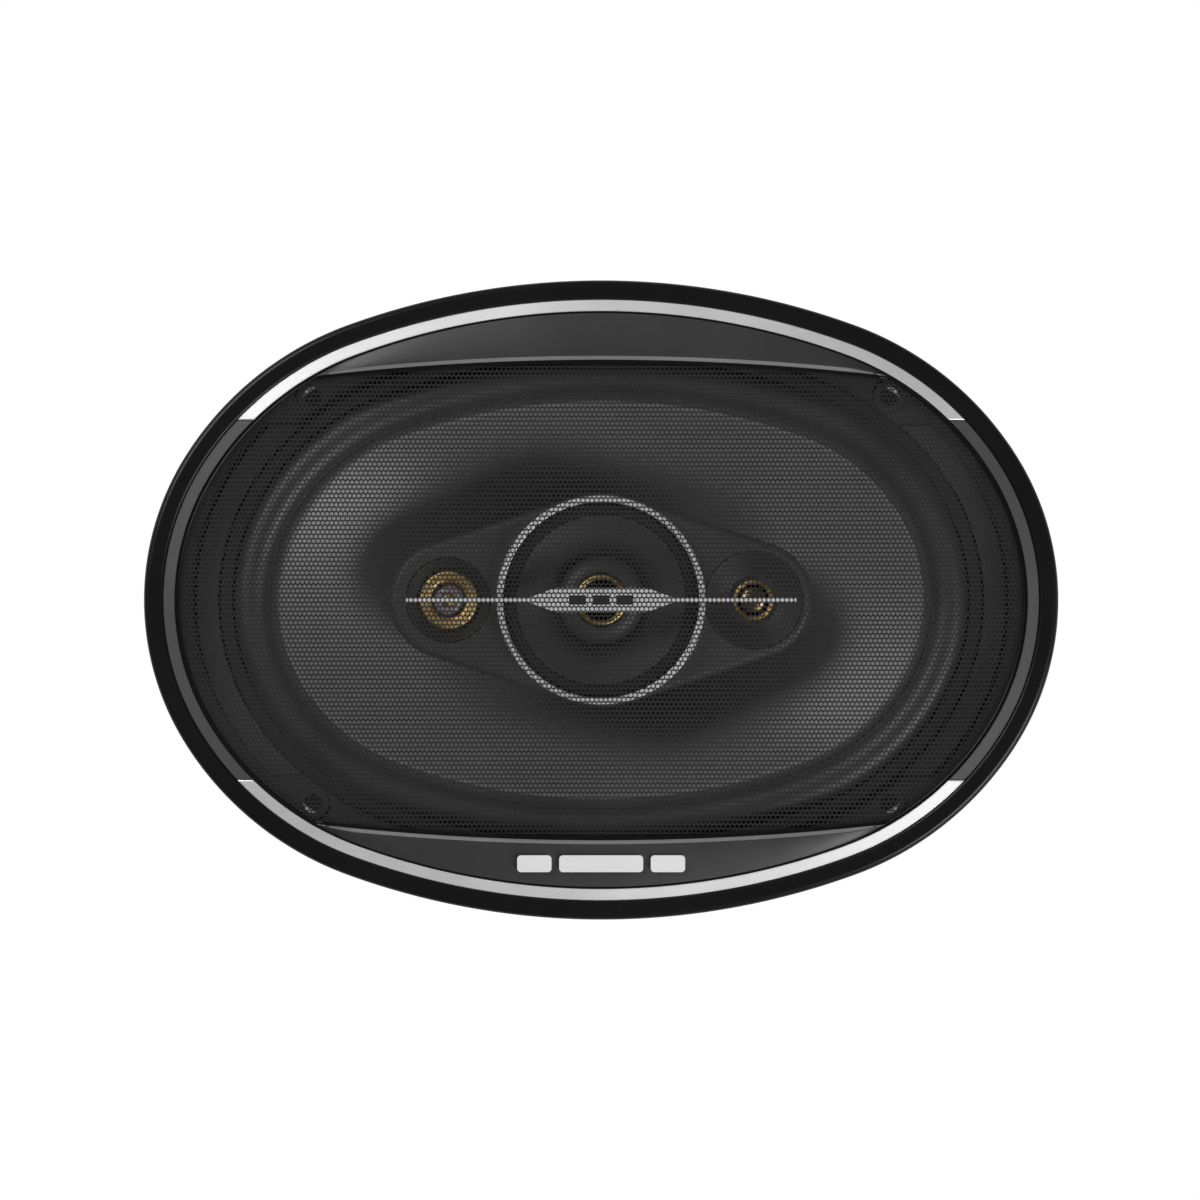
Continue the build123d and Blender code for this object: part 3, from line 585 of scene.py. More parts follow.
def rubberFinish():
    # satin rubber roll: fine grain, with slow patches of bloom
    material, tree, shader, here = startMaterial("rollRubber", sheen=0.08, specular=rubberPaint["specular"])
    grain = groupNode(tree, "grain", here, 3000.0)
    wear = groupNode(tree, "wear", here, 0.2)
    toneColour(tree, shader, rubberPaint["colour"], 0.25, grain.outputs["Tone"], wear.outputs["Dust"])
    roughTo(tree, shader, grain.outputs["Tone"], 0.2, rubberPaint["rough"] - 0.1)
    bumpTo(tree, shader, grain.outputs["Height"], 0.18)
    return material


rubberPaint = {"colour": (0.04, 0.04, 0.0405), "rough": 0.42, "specular": 0.75}
finishes["rollRubber"] = rubberFinish()


def weaveFinish(name, colour, threads, rough, metallic=0.0, height=0.9):
    # woven cloth or braid on the piece's own surface UV
    material, tree, shader, here = startMaterial(name, metallic=metallic, sheen=0.0 if metallic else 0.2)
    weave = groupNode(tree, "weave", here.node.outputs["UV"], threads)
    cloud = groupNode(tree, "grain", here, 500.0)
    toneColour(tree, shader, colour, 0.2, cloud.outputs["Tone"],
               mathNode(tree, "MULTIPLY", weave.outputs["Gap"], 0.8), tuple(c * 0.3 for c in colour))
    roughTo(tree, shader, weave.outputs["Gap"], 0.2, rough)
    bumpTo(tree, shader, weave.outputs["Height"], height)
    return material


finishes["spiderCloth"] = weaveFinish("spiderCloth", (0.42, 0.27, 0.08), 900.0, 0.6)
finishes["tinselBraid"] = weaveFinish("tinselBraid", (0.62, 0.42, 0.3), 1500.0, 0.35, metallic=0.9)


def windingFinish():
    # round copper wire laid side by side: a wave of height up the coil, under clear varnish
    material, tree, shader, here = startMaterial("copperWire", metallic=0.8, coat=0.5)
    height = addNode(tree, "SeparateXYZ", [(0, here)]).outputs[2]
    wave = mathNode(tree, "SINE", mathNode(tree, "MULTIPLY", height, 2 * math.pi / wirePitch))
    cloud = groupNode(tree, "grain", here, 600.0)
    toneColour(tree, shader, (0.5, 0.21, 0.09), 0.2, cloud.outputs["Tone"])
    roughTo(tree, shader, cloud.outputs["Tone"], 0.2, 0.22)
    bumpTo(tree, shader, mathNode(tree, "ABSOLUTE", wave), 0.8)
    return material


wirePitch = 0.00034
finishes["copperWire"] = windingFinish()
print("stage: finishes made,", len(finishes))

# every CAD node gets its finish; the pieces below replace those whose shape wants more
for part in frame["record"]["subparts"]:
    mesh = nodes[part["node"]].data
    mesh.materials.clear()
    mesh.materials.append(finishOf(part["material_slot"]))
print("stage: CAD nodes dressed")

# grille frame: skirt, rounded bezel and the shelf inside it
g = grilleSize
framePieceSize = {"corner": 0.6, "shelf": 9.2}
shelf = framePieceSize["shelf"]
skirtLine = roundedLine([(0, 0), (0, g["bezelTop"] - 1.0), (-1.0, g["bezelTop"]), (-4.6, g["bezelTop"] - 0.1),
                         (-5.0, g["bezelTop"] - 0.5), (-5.0, g["bedTop"]), (-shelf, g["bedTop"]),
                         (-shelf, g["bedLow"]), (-g["skirt"], g["bedLow"]), (-g["skirt"], 0)],
                        framePieceSize["corner"], steps=5)
framePiece = sweepOval("grille_frame_ring", g["face"], skirtLine, count=480)
place(framePiece, "grille", "bezel_gloss", "grille_frame")


def archHeight(x, mid):
    # height of the gentle arch above the long axis at x
    return mid - g["archRadius"] + np.sqrt(g["archRadius"] ** 2 - x ** 2)


def lensAngles(inset, mid, count):
    # normal angles between which the oval stands outside the arch, cut evenly
    phi = np.linspace(0.01, np.pi / 2, 6000)
    x, y = ovalPoints(g["face"], phi, -inset)
    first = phi[np.argmax(y > archHeight(x, mid))]
    return np.linspace(first, np.pi - first, count)


def lensPiece(name, inset, mid, low, high, side, chamfer, fall=0.0, count=181):
    # a panel between the arch and the oval: rows run along it, columns round its section; its top
    # drops towards the oval by the fall, as a share of its thickness, with the power 1.5 of the way
    phi = lensAngles(inset, mid, count)
    xOut, yOut = ovalPoints(g["face"], phi, -inset)
    yIn = archHeight(xOut, mid)
    wide = np.maximum(yOut - yIn, 0.02)
    lip = np.minimum(chamfer, 0.3 * wide)
    edge = np.minimum(0.25, 0.12 * wide)
    thick = (high - low) * np.minimum(1.0, wide / 1.2)
    top = low + thick
    shift = np.stack([0 * wide, 0 * wide, 0.12 * lip, lip * 0.9, lip * 1.1, wide * 0.5, wide - 2 * edge,
                      wide - edge, wide - 0.2 * edge, wide, wide, wide * 0.5], axis=1)
    ramp = np.minimum(lip * 0.5, thick * 0.5)
    level = np.stack([low + 0 * wide, top - ramp - 0.05, top - ramp, top - 0.05 * ramp, top, top, top,
                      top - 0.2 * edge, top - edge, top - 2 * edge, low + 0 * wide, low + 0 * wide], axis=1)
    share = shift / wide[:, None]
    level = low + (level - low) * (1 - fall * share ** 1.5)
    x = np.broadcast_to(xOut[:, None], shift.shape)
    points = np.stack([x, (yIn[:, None] + shift) * side, level], -1)
    return capEnds(surfaceGrid(name, points, False, True))


insertSize = {"thick": 1.3, "chamfer": 1.1, "fall": 0.85, "edge": 1.15, "bedChamfer": 0.3,
              "bedWider": (0.3, 0.8)}
for side, word in ((1, "top"), (-1, "bottom")):
    bed = lensPiece(f"insert_bed_{word}", g["openingInset"] - insertSize["bedWider"][0],
                    g["archMid"] - insertSize["bedWider"][1], g["bedLow"], g["bedTop"], side,
                    insertSize["bedChamfer"])
    place(bed, "grille", "bezel_gloss", "grille_frame")
    panel = lensPiece(f"insert_{word}_panel", g["insertInset"], g["archMid"], g["bedTop"],
                      g["bedTop"] + insertSize["thick"], side, insertSize["chamfer"], fall=insertSize["fall"])
    place(panel, "grille", "insert_brushed", f"insert_{word}")
    # the second finish is a painted highlight for the sloping cut
    panel.data.materials.append(finishes["insertEdge"])
    middle, normal = np.empty((2, len(panel.data.polygons), 3))
    panel.data.polygons.foreach_get("center", middle.ravel())
    panel.data.polygons.foreach_get("normal", normal.ravel())
    middle = middle / mm
    fromArch = np.abs(middle[:, 1]) - archHeight(middle[:, 0], g["archMid"])
    # the sloping cut along the arch looks up and away from the oval; it takes the lighter edge finish, a
    # painted highlight
    highlightFaces = (fromArch < insertSize["edge"]) & (normal[:, 2] > 0.5) & (normal[:, 1] * side < -0.2)
    panel.data.polygons.foreach_set("material_index", highlightFaces.astype(np.int32))


def trimPiece(name, profile, startAt, side=None, count=220):
    # the profile follows the oval between two levels of |y|, so its ends are cut square to the long axis
    prof = np.asarray(profile, float)
    dense = np.linspace(0, np.pi / 2, 4000)
    firsts = np.array([np.interp(startAt, ovalPoints(g["face"], dense, grow)[1], dense)
                       for grow in prof[:, 0]])
    share = np.linspace(0, 1, count)[:, None]
    if side == "sides":
        phi = -firsts + share * 2 * firsts
    else:
        phi = firsts + share * (np.pi - 2 * firsts)
    x, y = ovalPoints(g["face"], phi, prof[None, :, 0])
    z = np.broadcast_to(prof[None, :, 1], x.shape)
    return np.stack([x, y, z], -1)


def closedStrip(name, points):
    # rows along the strip, columns round its closed section, the two ends capped
    return capEnds(surfaceGrid(name, points, False, True))


trimSize = {"outside": 0.75, "inside": 1.15, "corner": 0.2}
trimLine = roundedLine([(-g["trimInset"], g["bedTop"]), (-g["trimInset"], g["bedTop"] + trimSize["outside"]),
                        (-g["trimInset"] - g["trimWidth"], g["bedTop"] + trimSize["inside"]),
                        (-g["trimInset"] - g["trimWidth"], g["bedTop"])], trimSize["corner"])
mirrorY = np.array([1.0, -1.0, 1.0])
mirrorX = np.array([-1.0, 1.0, 1.0])
arc = trimPiece("trim", trimLine, g["trimEnd"])
place(closedStrip("trim_top_arc", arc), "grille", "trim_silver", "trim_top")
place(closedStrip("trim_bottom_arc", arc * mirrorY), "grille", "trim_silver", "trim_bottom")
band = trimPiece("band", trimLine, g["trimEnd"] - 0.15, "sides")
place(closedStrip("side_band_right", band), "grille", "band_plastic", "side_bands")
place(closedStrip("side_band_left", band * mirrorX), "grille", "band_plastic", "side_bands")
print("stage: grille frame, trims and inserts")

# perforated sheet: staggered rows of six-sided holes, each cell joined to its neighbours
sheetSize = {"pitch": 1.19, "holeRadius": 0.54, "thickness": 0.5, "margin": 8.3, "crown": 0.7,
             "crownFall": 1.25, "gap": 0.02, "parts": 4}


def perforatedSheet():
    # cell centres are i and j steps of the pitch, every second row shifted by half a step
    pitch = sheetSize["pitch"]
    reach = int(g["face"][0] / pitch) + 2
    rise = int(g["face"][1] / pitch) + 2
    i, j = np.meshgrid(np.arange(-reach, reach + 1), np.arange(-rise, rise + 1))
    i, j = i.ravel(), j.ravel()
    shifted = np.abs(j) % 2
    x, y = (i + 0.5 * shifted) * pitch, j * pitch
    normal = np.linspace(0, 2 * np.pi, 240, endpoint=False)
    edgeX, edgeY = ovalPoints(g["face"], normal, -sheetSize["margin"])
    support = edgeX * np.cos(normal) + edgeY * np.sin(normal)
    depth = (x[:, None] * np.cos(normal) + y[:, None] * np.sin(normal) - support).max(axis=1)
    keep = (depth < 0) & (np.abs(y) < archHeight(x, g["archMid"] + 0.2))
    i, j, shifted, x, y = i[keep], j[keep], shifted[keep], x[keep], y[keep]
    part = np.minimum(np.argsort(np.argsort(x)) * sheetSize["parts"] // len(x), sheetSize["parts"] - 1)
    for number in range(sheetSize["parts"]):
        mine = part == number
        sheetPart(number, i[mine], j[mine], shifted[mine], x[mine], y[mine])


def sheetHeight(x, y):
    # the sheet is pressed to a slight crown
    drop = (x / g["face"][0]) ** 2 + (y / g["face"][1]) ** 2
    crown = sheetSize["crown"] * np.maximum(0, 1 - drop * sheetSize["crownFall"])
    return g["bedLow"] - sheetSize["gap"] + crown


def sheetPart(number, i, j, shifted, x, y):
    pitch, cells = sheetSize["pitch"], len(x)
    column = np.array([1, 1, 0, -1, -1, 0])
    row = np.array([-1, 0, 0, 0, -1, -1])
    keys = (2 * i + shifted)[:, None] + column + 100000 * (j[:, None] + row)
    unique, corner = np.unique(keys, return_inverse=True)
    corner = corner.reshape(cells, 6)
    cornerX = np.zeros(len(unique))
    cornerY = np.zeros(len(unique))
    cornerX[corner] = x[:, None] + column * pitch / 2
    cornerY[corner] = y[:, None] + (row + 0.5) * pitch
    angle = np.radians(np.array([-30, 30, 90, 150, 210, 270]))
    holeX = (x[:, None] + sheetSize["holeRadius"] * np.cos(angle)).ravel()
    holeY = (y[:, None] + sheetSize["holeRadius"] * np.sin(angle)).ravel()
    allX, allY = np.concatenate([cornerX, holeX]), np.concatenate([cornerY, holeY])
    front = np.stack([allX, allY, sheetHeight(allX, allY)], -1)
    back = front - np.array([0, 0, sheetSize["thickness"]])
    under = len(allX)
    hole = len(unique) + np.arange(cells * 6).reshape(cells, 6)
    nextCorner, nextHole = np.roll(corner, -1, axis=1), np.roll(hole, -1, axis=1)
    face = np.stack([corner, nextCorner, nextHole, hole], -1).reshape(-1, 4)
    wall = np.stack([hole, nextHole, nextHole + under, hole + under], -1).reshape(-1, 4)
    rim = np.stack([corner, nextCorner], -1).reshape(-1, 2)
    low, high = rim.min(axis=1), rim.max(axis=1)
    pair, count = np.unique(low * 10 ** 7 + high, return_counts=True)
    alone = rim[np.isin(low * 10 ** 7 + high, pair[count == 1])]
    outer = np.stack([alone[:, 1], alone[:, 0], alone[:, 0] + under, alone[:, 1] + under], -1)
    faces = np.concatenate([face, face[:, ::-1] + under, wall, outer])
    piece = meshPiece(f"grille_mesh_{number + 1}", np.concatenate([front, back]), faces)
    piece.data.shade_flat()
    place(piece, "grille", "mesh_paint", "grille_mesh")


perforatedSheet()

# bright bar glued behind the sheet: its half height tapers from the plate in the middle to the thin ends
barSize = {"half": (51.3, 0.62), "plate": (12.0, 3.2), "taper": 8.6, "thickness": 0.4}
along = np.linspace(-barSize["half"][0], barSize["half"][0], 685)[:, None]
slope = barSize["plate"][1] / barSize["taper"]
barHalf = np.clip((barSize["plate"][0] + barSize["taper"] - np.abs(along)) * slope,
                  barSize["half"][1], barSize["plate"][1])
corner = np.array([[1, 0], [1, -1], [-1, -1], [-1, 0]])
barTop = sheetHeight(along, 0) - sheetSize["thickness"] - sheetSize["gap"]
barLevel = barTop + corner[:, 1] * barSize["thickness"]
barPoints = np.stack([along + 0 * barLevel, barHalf * corner[:, 0], barLevel], -1)
centreBar = closedStrip("centre_bar_plate", barPoints)
centreBar.data.shade_flat()
place(centreBar, "grille", "trim_silver", "centre_bar", finish="barSilver")
print("stage: perforated sheet and centre bar")

# woofer cone: rings of the oval through the pressed sections, with a smooth wall between them
coneSize = {
    "levels": (-34.0, -22.0, -10.0, 1.5),
    "sections": ((19.0, 19.0), (37.5, 28.5), (60.5, 39.5), (85.7, 52.7)),
    "wall": 0.9, "steps": 60, "around": 288, "rimOut": -4.7, "rimLow": 0.7,
}


def throughSections(rings, share):
    # Catmull-Rom curve through the rings, read at each share of the way
    padded = np.concatenate([2 * rings[:1] - rings[1:2], rings, 2 * rings[-1:] - rings[-2:-1]])
    at = np.clip(share * (len(rings) - 1), 0, len(rings) - 1 - 1e-9)
    k = at.astype(int)
    t = (at - k)[:, None, None]
    a, b, c, d = padded[k], padded[k + 1], padded[k + 2], padded[k + 3]
    return 0.5 * (2 * b + (c - a) * t + (2 * a - 5 * b + 4 * c - d) * t ** 2
                  + (3 * b - a - 3 * c + d) * t ** 3)


def conePoints():
    phi = np.linspace(0, 2 * np.pi, coneSize["around"], endpoint=False)
    share = np.linspace(0, 1, coneSize["steps"])
    walls = []
    for shift in (-coneSize["wall"] / 2, coneSize["wall"] / 2):
        rings = []
        for level, semi in zip(coneSize["levels"], coneSize["sections"]):
            ratio = 1.0 if semi[0] == semi[1] else None
            x, y = ovalPoints(semi, phi, shift, ratio)
            rings.append(np.stack([x, y, np.full_like(x, level)], -1))
        walls.append(throughSections(np.array(rings), share))
    front, back = walls
    xOut, yOut = ovalPoints(rollSize["semi"], phi, coneSize["rimOut"])
    top = np.stack([xOut, yOut, np.full_like(xOut, coneSize["levels"][-1])], -1)
    low = np.stack([xOut, yOut, np.full_like(xOut, coneSize["rimLow"])], -1)
    under = back[-1].copy()
    under[:, 2] = coneSize["rimLow"]
    column = np.concatenate([front, top[None], low[None], under[None], back[:-1][::-1]])
    return column.transpose(1, 0, 2)


cone = surfaceGrid("woofer_cone_pressed", conePoints(), True, True)
place(cone, "woofer", "cone_fibre", "woofer_cone")

# rubber surround: a half roll with a thin wall and two glued edges, between basket and cone
surroundSize = {"edgeOut": 8.3, "edgeIn": -6.8, "steps": 22}


def bendAcross(piece, mover, weight, low, high):
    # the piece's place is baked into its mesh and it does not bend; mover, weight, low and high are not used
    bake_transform(piece)


def rollProfile(radius, wall, low, edgeOut, edgeIn, steps):
    # outer edge, over the roll, inner edge, then back along the underside
    turn = np.linspace(0, np.pi, steps)
    over = np.stack([radius * np.cos(turn), low + wall * 0.5 + (radius - wall * 0.5) * np.sin(turn)], -1)
    inner = np.stack([(radius - wall) * np.cos(turn), low + (radius - wall) * np.sin(turn)], -1)
    top, bevel = low + wall, low + wall * 0.8
    topOut = [(edgeOut, low), (edgeOut, bevel), (edgeOut - 0.2, top), (radius + 0.5, top)]
    topIn = [(-radius - 0.4, top), (edgeIn + 0.2, top), (edgeIn, bevel), (edgeIn, low)]
    return np.concatenate([topOut, over, topIn, inner[::-1]])


def smoothShare(value):
    return value * value * (3 - 2 * value)


rollLine = rollProfile(rollSize["radius"], rollSize["wall"], rollSize["low"], surroundSize["edgeOut"],
                       surroundSize["edgeIn"], surroundSize["steps"])
roll = sweepOval("surround_roll", rollSize["semi"], rollLine, count=360)


def placeBent(piece, mover, weight, levels, slotName, *cadNodes):
    # a soft piece that crosses a joint: its finish and its CAD nodes; it is baked in place and does not bend
    piece.data.materials.clear()
    piece.data.materials.append(finishOf(slotName))
    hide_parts(*cadNodes)
    bendAcross(piece, mover, weight, *levels)


outward = np.tile(rollLine[:, 0], 360)
woofShare = smoothShare(np.clip((rollSize["radius"] - outward) / (2 * rollSize["radius"]), 0, 1))
placeBent(roll, "woofer", woofShare, (rollSize["low"], rollSize["low"] + 1), "roll_rubber", "surround")

# foam gasket over the surround's glued edge
gasketSize = {"out": 8.3, "in": 4.95, "low": 2.15, "high": 3.65}
gasketLine = roundedLine([(gasketSize["out"], gasketSize["low"]), (gasketSize["out"], gasketSize["high"]),
                          (gasketSize["in"], gasketSize["high"]), (gasketSize["in"], gasketSize["low"])], 0.6)
gasket = sweepOval("front_gasket_foam", rollSize["semi"], gasketLine, count=360)
place(gasket, "chassis", "gasket_foam", "front_gasket")

# spider: a disc pressed in even waves, from the former's collar out to its seat
spiderSize = {"collar": 17.62, "seat": 41.0, "edge": 46.0, "level": -40.93, "wave": 1.55, "waves": 6,
              "wall": 0.45, "flat": 1.4, "free": 1.0, "steps": 150, "around": 240}
radii = np.linspace(spiderSize["collar"], spiderSize["edge"], spiderSize["steps"])
firstWave = spiderSize["collar"] + spiderSize["flat"]
inWaves = np.clip((radii - firstWave) / (spiderSize["seat"] - firstWave), 0, 1)
lift = spiderSize["wave"] * 0.5 * (1 - np.cos(2 * np.pi * spiderSize["waves"] * inWaves))
spiderTop = np.stack([radii, spiderSize["level"] + lift + spiderSize["wall"]], -1)
spiderLow = np.stack([radii, spiderSize["level"] + lift], -1)
spiderLine = np.concatenate([spiderTop, spiderLow[::-1]])
spider = lathe("spider_cloth", spiderLine, segments=spiderSize["around"])
fromCollar = np.tile(spiderLine[:, 0], spiderSize["around"])
spiderShare = smoothShare(np.clip((spiderSize["seat"] - fromCollar)
                                  / (spiderSize["seat"] - spiderSize["collar"] - spiderSize["free"]), 0, 1))
placeBent(spider, "woofer", spiderShare, (spiderSize["level"], spiderSize["level"] + 1),
          "spider_cloth", "spider")

# midrange: bright ring, half roll, cone, disc and gold plug, all turned about the upright axis
midSize = {"rollAt": 24.1, "rollLow": 6.05, "rollRadius": 1.5, "rollWall": 0.35,
           "cone": ((11.6, -1.7), (16.2, 1.2), (22.5, 6.0), 0.6),
           "disc": ((7.3, 1.0), (9.9, 1.0), (11.75, -1.45), 0.35)}
ringLine = roundedLine([(26.0, 6.5), (27.6, 6.5), (27.6, 10.1), (27.4, 10.5), (26.0, 10.5), (25.8, 10.2),
                        (25.8, 7.3), (26.0, 7.3)], 0.15)
place(lathe("mid_ring_bright", ringLine, segments=256), "chassis", "bright_ring",
      "mid_trim_ring")
turn = np.linspace(0, np.pi, 16)
midOver = np.stack([midSize["rollAt"] + midSize["rollRadius"] * np.cos(turn),
                    midSize["rollLow"] + midSize["rollRadius"] * np.sin(turn)], -1)
midUnder = np.stack([midSize["rollAt"] + (midSize["rollRadius"] - midSize["rollWall"]) * np.cos(turn),
                     midSize["rollLow"] + (midSize["rollRadius"] - midSize["rollWall"]) * np.sin(turn)], -1)
midRollLine = np.concatenate([midOver, midUnder[::-1]])
midRoll = lathe("mid_roll_foam", midRollLine, segments=200)
midReach = np.tile(midRollLine[:, 0], 200)
midShare = smoothShare(np.clip((midSize["rollAt"] + midSize["rollRadius"] - midReach)
                               / (2 * midSize["rollRadius"]), 0, 1))
placeBent(midRoll, "midrange", midShare, (midSize["rollLow"], midSize["rollLow"] + 1),
          "mid_foam", "mid_surround")


def curvedWall(start, middle, stop, wall, steps=28):
    # a shallow curved shell from start to stop, pulled towards middle, with a wall below it
    t = np.linspace(0, 1, steps)[:, None]
    a, m, b = np.array(start), np.array(middle), np.array(stop)
    top = (1 - t) ** 2 * a + 2 * t * (1 - t) * m + t ** 2 * b
    return np.concatenate([top, top[::-1] - np.array([0, wall])])


midCone = lathe("mid_cone_pressed", curvedWall(*midSize["cone"]), segments=200)
place(midCone, "midrange", "mid_paper", "mid_cone")
midDisc = lathe("mid_disc_film", curvedWall(*midSize["disc"]), segments=160)
place(midDisc, "midrange", "disc_film", "mid_disc")
plugLine = roundedLine([(0, 0.3), (2.6, 0.5), (4.2, 1.6), (5.6, 3.9), (6.5, 4.0), (6.9, 3.3), (6.9, 0.2),
                        (4.9, -7.9), (0, -7.9)], 0.5, closed=False)
place(lathe("mid_plug_gold", plugLine, segments=128), "chassis", "gold_plate", "mid_plug", finish="goldCup")

# the two small units in the lobes
unitSize = {
    "tweeter": {"x": -40.4, "outer": 11.2, "dish": 10.7, "seat": 8.0, "level": 3.0, "throat": 4.6,
                "ring": 7.8},
    "super_tweeter": {"x": 40.4, "outer": 13.0, "dish": 12.6, "seat": 6.7, "level": 1.7, "throat": 4.2,
                      "ring": 5.5},
}
unitFinish = {"tweeter": ("goldLeft", "domeLeft"), "super_tweeter": ("goldRight", "goldDome")}
faceTop, faceLow, yokeReach = 6.0, -4.0, 8.4
domeSize = {"below": 1.5, "rise": 1.7, "wall": 0.15, "lip": 0.9, "hole": 1.9}
for unit, u in unitSize.items():
    ringFinish, domeFinish = unitFinish[unit]
    faceLine = roundedLine([(u["throat"], u["level"]), (u["seat"], u["level"]), (u["dish"], faceTop),
                            (u["outer"], faceTop), (u["outer"], faceLow), (yokeReach, faceLow),
                            (yokeReach, u["level"] - 1), (u["throat"], u["level"] - 1)], 0.35)
    place(lathe(f"{unit}_face_moulded", faceLine, u["x"]), "chassis", "unit_plastic",
          f"{unit}_face")
    goldLine = roundedLine([(u["throat"] + 0.05, u["level"]), (u["ring"], u["level"]),
                            (u["ring"], u["level"] + 1.0), (u["ring"] - 0.5, u["level"] + 1.5),
                            (u["throat"] + 0.6, u["level"] + 1.2),
                            (u["throat"] + 0.05, u["level"] + 0.6)], 0.3)
    place(lathe(f"{unit}_ring_gold", goldLine, u["x"]), "chassis", "gold_plate", f"{unit}_ring",
          finish=ringFinish)
    skirt = u["level"] - domeSize["below"]
    hole = domeSize["hole"] if unit == "tweeter" else 0.0
    turn = np.linspace(0, np.pi / 2, 20)
    reachOut = u["throat"] - 0.3
    domeTop = np.stack([hole + (reachOut - hole) * np.sin(turn), skirt + domeSize["rise"] * np.cos(turn)], -1)
    lipOut = u["throat"] + domeSize["lip"]
    lip = np.array([[lipOut, skirt], [lipOut, skirt - domeSize["wall"]]])
    under = domeTop[::-1] - np.array([0.0, domeSize["wall"]])
    domeLine = np.concatenate([domeTop, lip, under])
    if hole == 0.0:
        domeLine[0, 0] = domeLine[-1, 0] = 0.0
    place(lathe(f"{unit}_dome_film", domeLine, u["x"], 96), unit,
          "dome_film" if unit == "tweeter" else "gold_dome", f"{unit}_dome", finish=domeFinish)
tipLine = roundedLine([(0, 4.72), (0.9, 4.6), (1.5, 4.1), (1.6, 3.9), (1.2, 3.5), (1.2, 0.92), (0, 0.92)],
                      0.25, closed=False)
place(lathe("tweeter_tip_gold", tipLine, unitSize["tweeter"]["x"], 48), "chassis", "gold_plate",
      "tweeter_plug", finish="goldLeft")
print("stage: cones, surrounds and small units")

# flexible leads: a braided tube along a smooth line from the board to the back of the cone
leadSize = {"x": 9.0, "radius": 0.8, "steps": 24, "sides": 16}
leadRoute = ((-61.9, -20.9), (-54.5, -17.4), (-46.5, -22.0), (-38.5, -28.5), (-29.8, -22.6))


def tubeAlong(name, line, radius, sides):
    # rings square to the line, each turned to lie level with the one before
    tangent = np.gradient(line, axis=0)
    tangent /= np.linalg.norm(tangent, axis=1, keepdims=True)
    side = np.cross(tangent, np.array([1.0, 0.0, 0.0]))
    side /= np.linalg.norm(side, axis=1, keepdims=True)
    other = np.cross(tangent, side)
    angle = np.linspace(0, 2 * np.pi, sides, endpoint=False)[None, :, None]
    rings = line[:, None] + radius * (np.cos(angle) * side[:, None] + np.sin(angle) * other[:, None])
    across = radius * np.linspace(0, 2 * np.pi, sides, endpoint=False)
    return capEnds(surfaceGrid(name, rings, False, True, across))


def splineLine(route, steps):
    # the smooth line that a NURBS curve of order 3 makes of the route's points
    curve = bpy.data.curves.new("route", "CURVE")
    curve.dimensions = "3D"
    spline = curve.splines.new("NURBS")
    spline.points.add(len(route) - 1)
    spline.points.foreach_set("co", np.column_stack([np.array(route), np.ones(len(route))]).ravel())
    spline.order_u = 3
    spline.use_endpoint_u = True
    curve.resolution_u = steps
    holder = bpy.data.objects.new("route", curve)
    drawn = bpy.data.meshes.new_from_object(holder)
    line = np.empty(len(drawn.vertices) * 3)
    drawn.vertices.foreach_get("co", line)
    bpy.data.objects.remove(holder)
    bpy.data.meshes.remove(drawn)
    return line.reshape(-1, 3)


for side in (-1, 1):
    route = [(side * leadSize["x"], y, z) for y, z in leadRoute]
    line = splineLine(route, leadSize["steps"])
    lead = tubeAlong(f"tinsel_lead_{'left' if side < 0 else 'right'}", line, leadSize["radius"],
                     leadSize["sides"])
    lead.data.materials.append(finishOf("tinsel_braid"))
    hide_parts("tinsel_leads")
    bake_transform(lead)
print("stage: leads")

# floor, light and camera
# the floor glows to the camera; looked at from straight above, an oval patch under the speaker is a painted
# shadow, dark and without the glow
stageSize = {"floor": -83.6, "floorHalf": 3000.0, "patch": (126.0, 88.5), "patchEdge": 0.94, "pale": 0.93,
             "dark": 0.012, "glow": 1.02, "slantFrom": 0.985, "slantTo": 0.965, "skyLight": 0.12,
             "skySeen": 1.0}
floorMesh = bpy.data.meshes.new("floor")
half, level = stageSize["floorHalf"] * mm, stageSize["floor"] * mm
floorCorners = [(-half, -half, level), (half, -half, level), (half, half, level), (-half, half, level)]
floorMesh.from_pydata(floorCorners, [], [(0, 1, 2, 3)])
floor = bpy.data.objects.new("floor", floorMesh)
scene.collection.objects.link(floor)
floorPaint, tree, shader, here = startMaterial("floorPaint", specular=0.0)
shader.inputs["Roughness"].default_value = 0.9
spot = addNode(tree, "VectorMath", [(0, here), (1, (*(1 / (side * mm) for side in stageSize["patch"]), 0))],
               operation="MULTIPLY")
away = addNode(tree, "VectorMath", [(0, spot.outputs[0])], operation="LENGTH")
outside = addNode(tree, "MapRange", [("Value", away.outputs["Value"]),
                                               ("From Min", stageSize["patchEdge"]), ("From Max", 1.0)])
sight = addNode(tree, "NewGeometry")
steep = addNode(tree, "SeparateXYZ", [(0, sight.outputs["Incoming"])]).outputs[2]
slanted = addNode(tree, "MapRange", [("Value", steep), ("From Min", stageSize["slantFrom"]),
                                               ("From Max", stageSize["slantTo"])])
lit = mathNode(tree, "MAXIMUM", outside.outputs[0], slanted.outputs[0])
# painted shadow: inside the oval patch, seen from straight above, the floor takes the dark colour
shade = mixColour(tree, lit, (stageSize["dark"],) * 3, (stageSize["pale"],) * 3)
tree.links.new(shade, shader.inputs["Base Color"])
glow = addNode(tree, "Emission", [("Color", (1, 1, 1, 1)), ("Strength", stageSize["glow"])])
glowing = mathNode(tree, "MULTIPLY", addNode(tree, "LightPath").outputs["Is Camera Ray"], lit)
fromAbove = mixShader(tree, glowing, shader.outputs[0], glow.outputs[0])
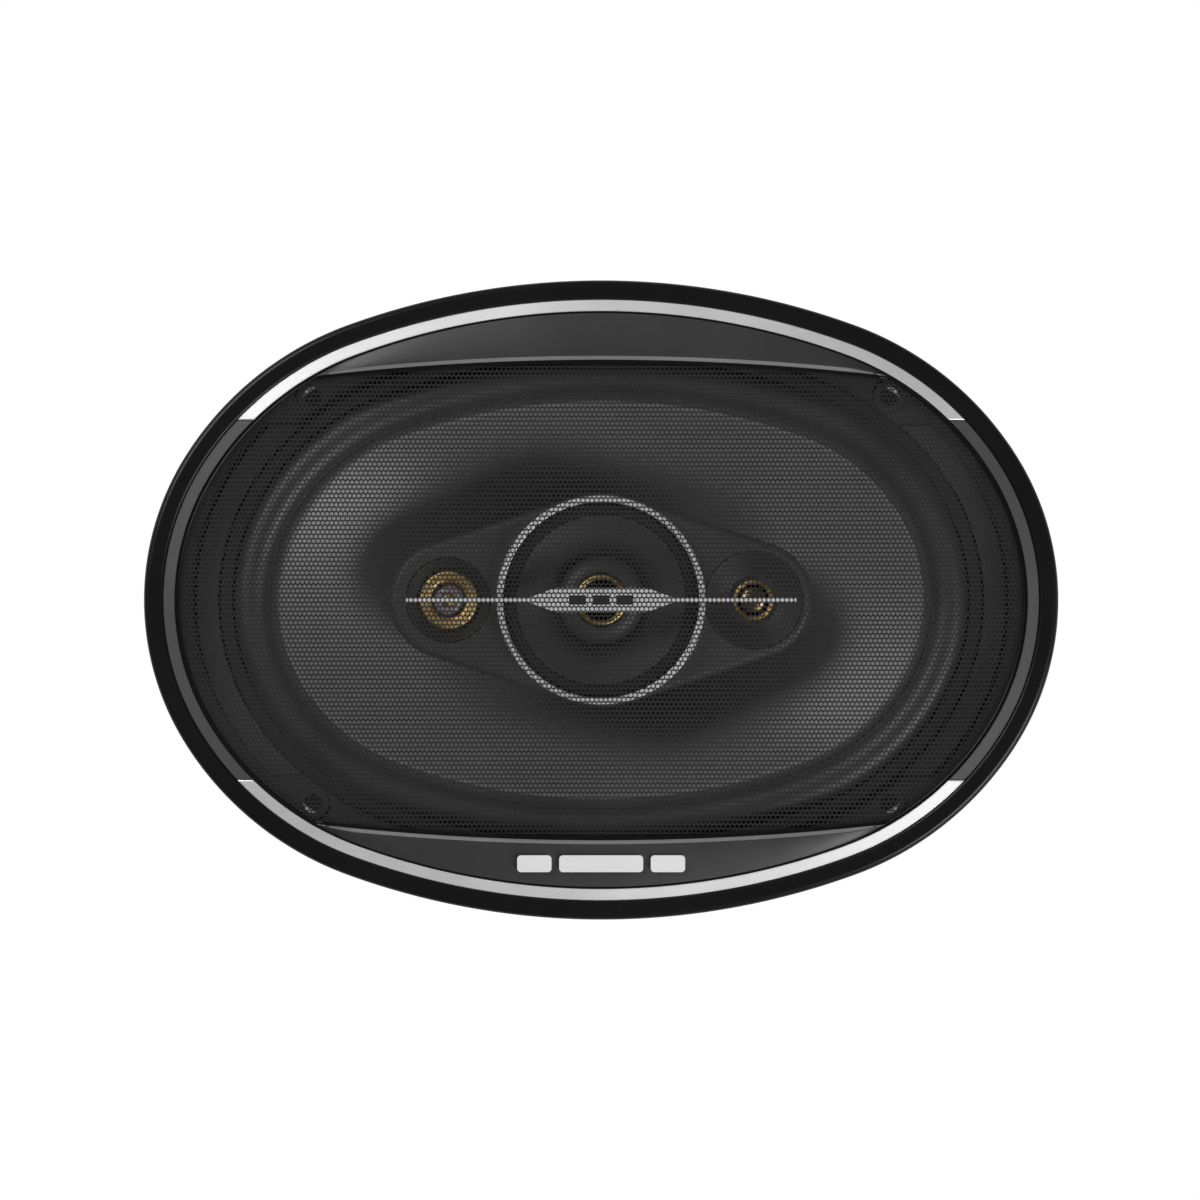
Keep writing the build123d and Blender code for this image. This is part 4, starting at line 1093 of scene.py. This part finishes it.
clear = addNode(tree, "BsdfTransparent").outputs[0]
tree.links.new(mixShader(tree, sight.outputs["Backfacing"], fromAbove, clear),
               tree.nodes["Material Output"].inputs["Surface"])
floorMesh.materials.append(floorPaint)

world = bpy.data.worlds.new("studio")
world.use_nodes = True
sky = world.node_tree
sky.nodes["Background"].inputs["Color"].default_value = (1, 1, 1, 1)
sky.nodes["Background"].inputs["Strength"].default_value = stageSize["skyLight"]
backdrop = addNode(sky, "Background", [("Color", (1, 1, 1, 1)), ("Strength", stageSize["skySeen"])])
seen = addNode(sky, "LightPath").outputs["Is Camera Ray"]
either = mixShader(sky, seen, sky.nodes["Background"].outputs[0], backdrop.outputs[0])
sky.links.new(either, sky.nodes["World Output"].inputs["Surface"])
scene.world = world


def softbox(name, position, width, power):
    # a square area light that faces the origin: its -Z is turned to the direction from its place
    data = bpy.data.lights.new(name, "AREA")
    data.shape = "RECTANGLE"
    data.size = data.size_y = width
    data.energy = power
    lamp = bpy.data.objects.new(name, data)
    lamp.location = position
    x, y, z = -np.array(position) / np.linalg.norm(position)
    lamp.rotation_euler = (math.acos(-z), 0.0, math.atan2(-x, y))
    scene.collection.objects.link(lamp)


# place in metres, side of the square in metres and power in watts
lamps = {"upperLeftBox": ((-0.95, 0.8, 1.05), 0.9, 17.5), "lowerRightBox": ((1.0, -0.82, 1.0), 0.9, 21)}
for name, (position, width, power) in lamps.items():
    softbox(name, position, width, power)

# the long axis takes up 0.76 of the frame's width at the grille's face
cameraSize = {"height": 1.115, "across": 0.3145, "plane": 0.0155, "shift": -0.0003, "sensor": 36}
cameraData = bpy.data.cameras.new("camera")
cameraData.sensor_width = cameraSize["sensor"]
cameraData.lens = cameraSize["sensor"] * (cameraSize["height"] - cameraSize["plane"]) / cameraSize["across"]
cameraData.clip_end = 20
camera = bpy.data.objects.new("camera", cameraData)
camera.location = (cameraSize["shift"], 0, cameraSize["height"])
scene.collection.objects.link(camera)
scene.camera = camera
scene.view_settings.view_transform = "Standard"

print("stage: floor, lights and camera")
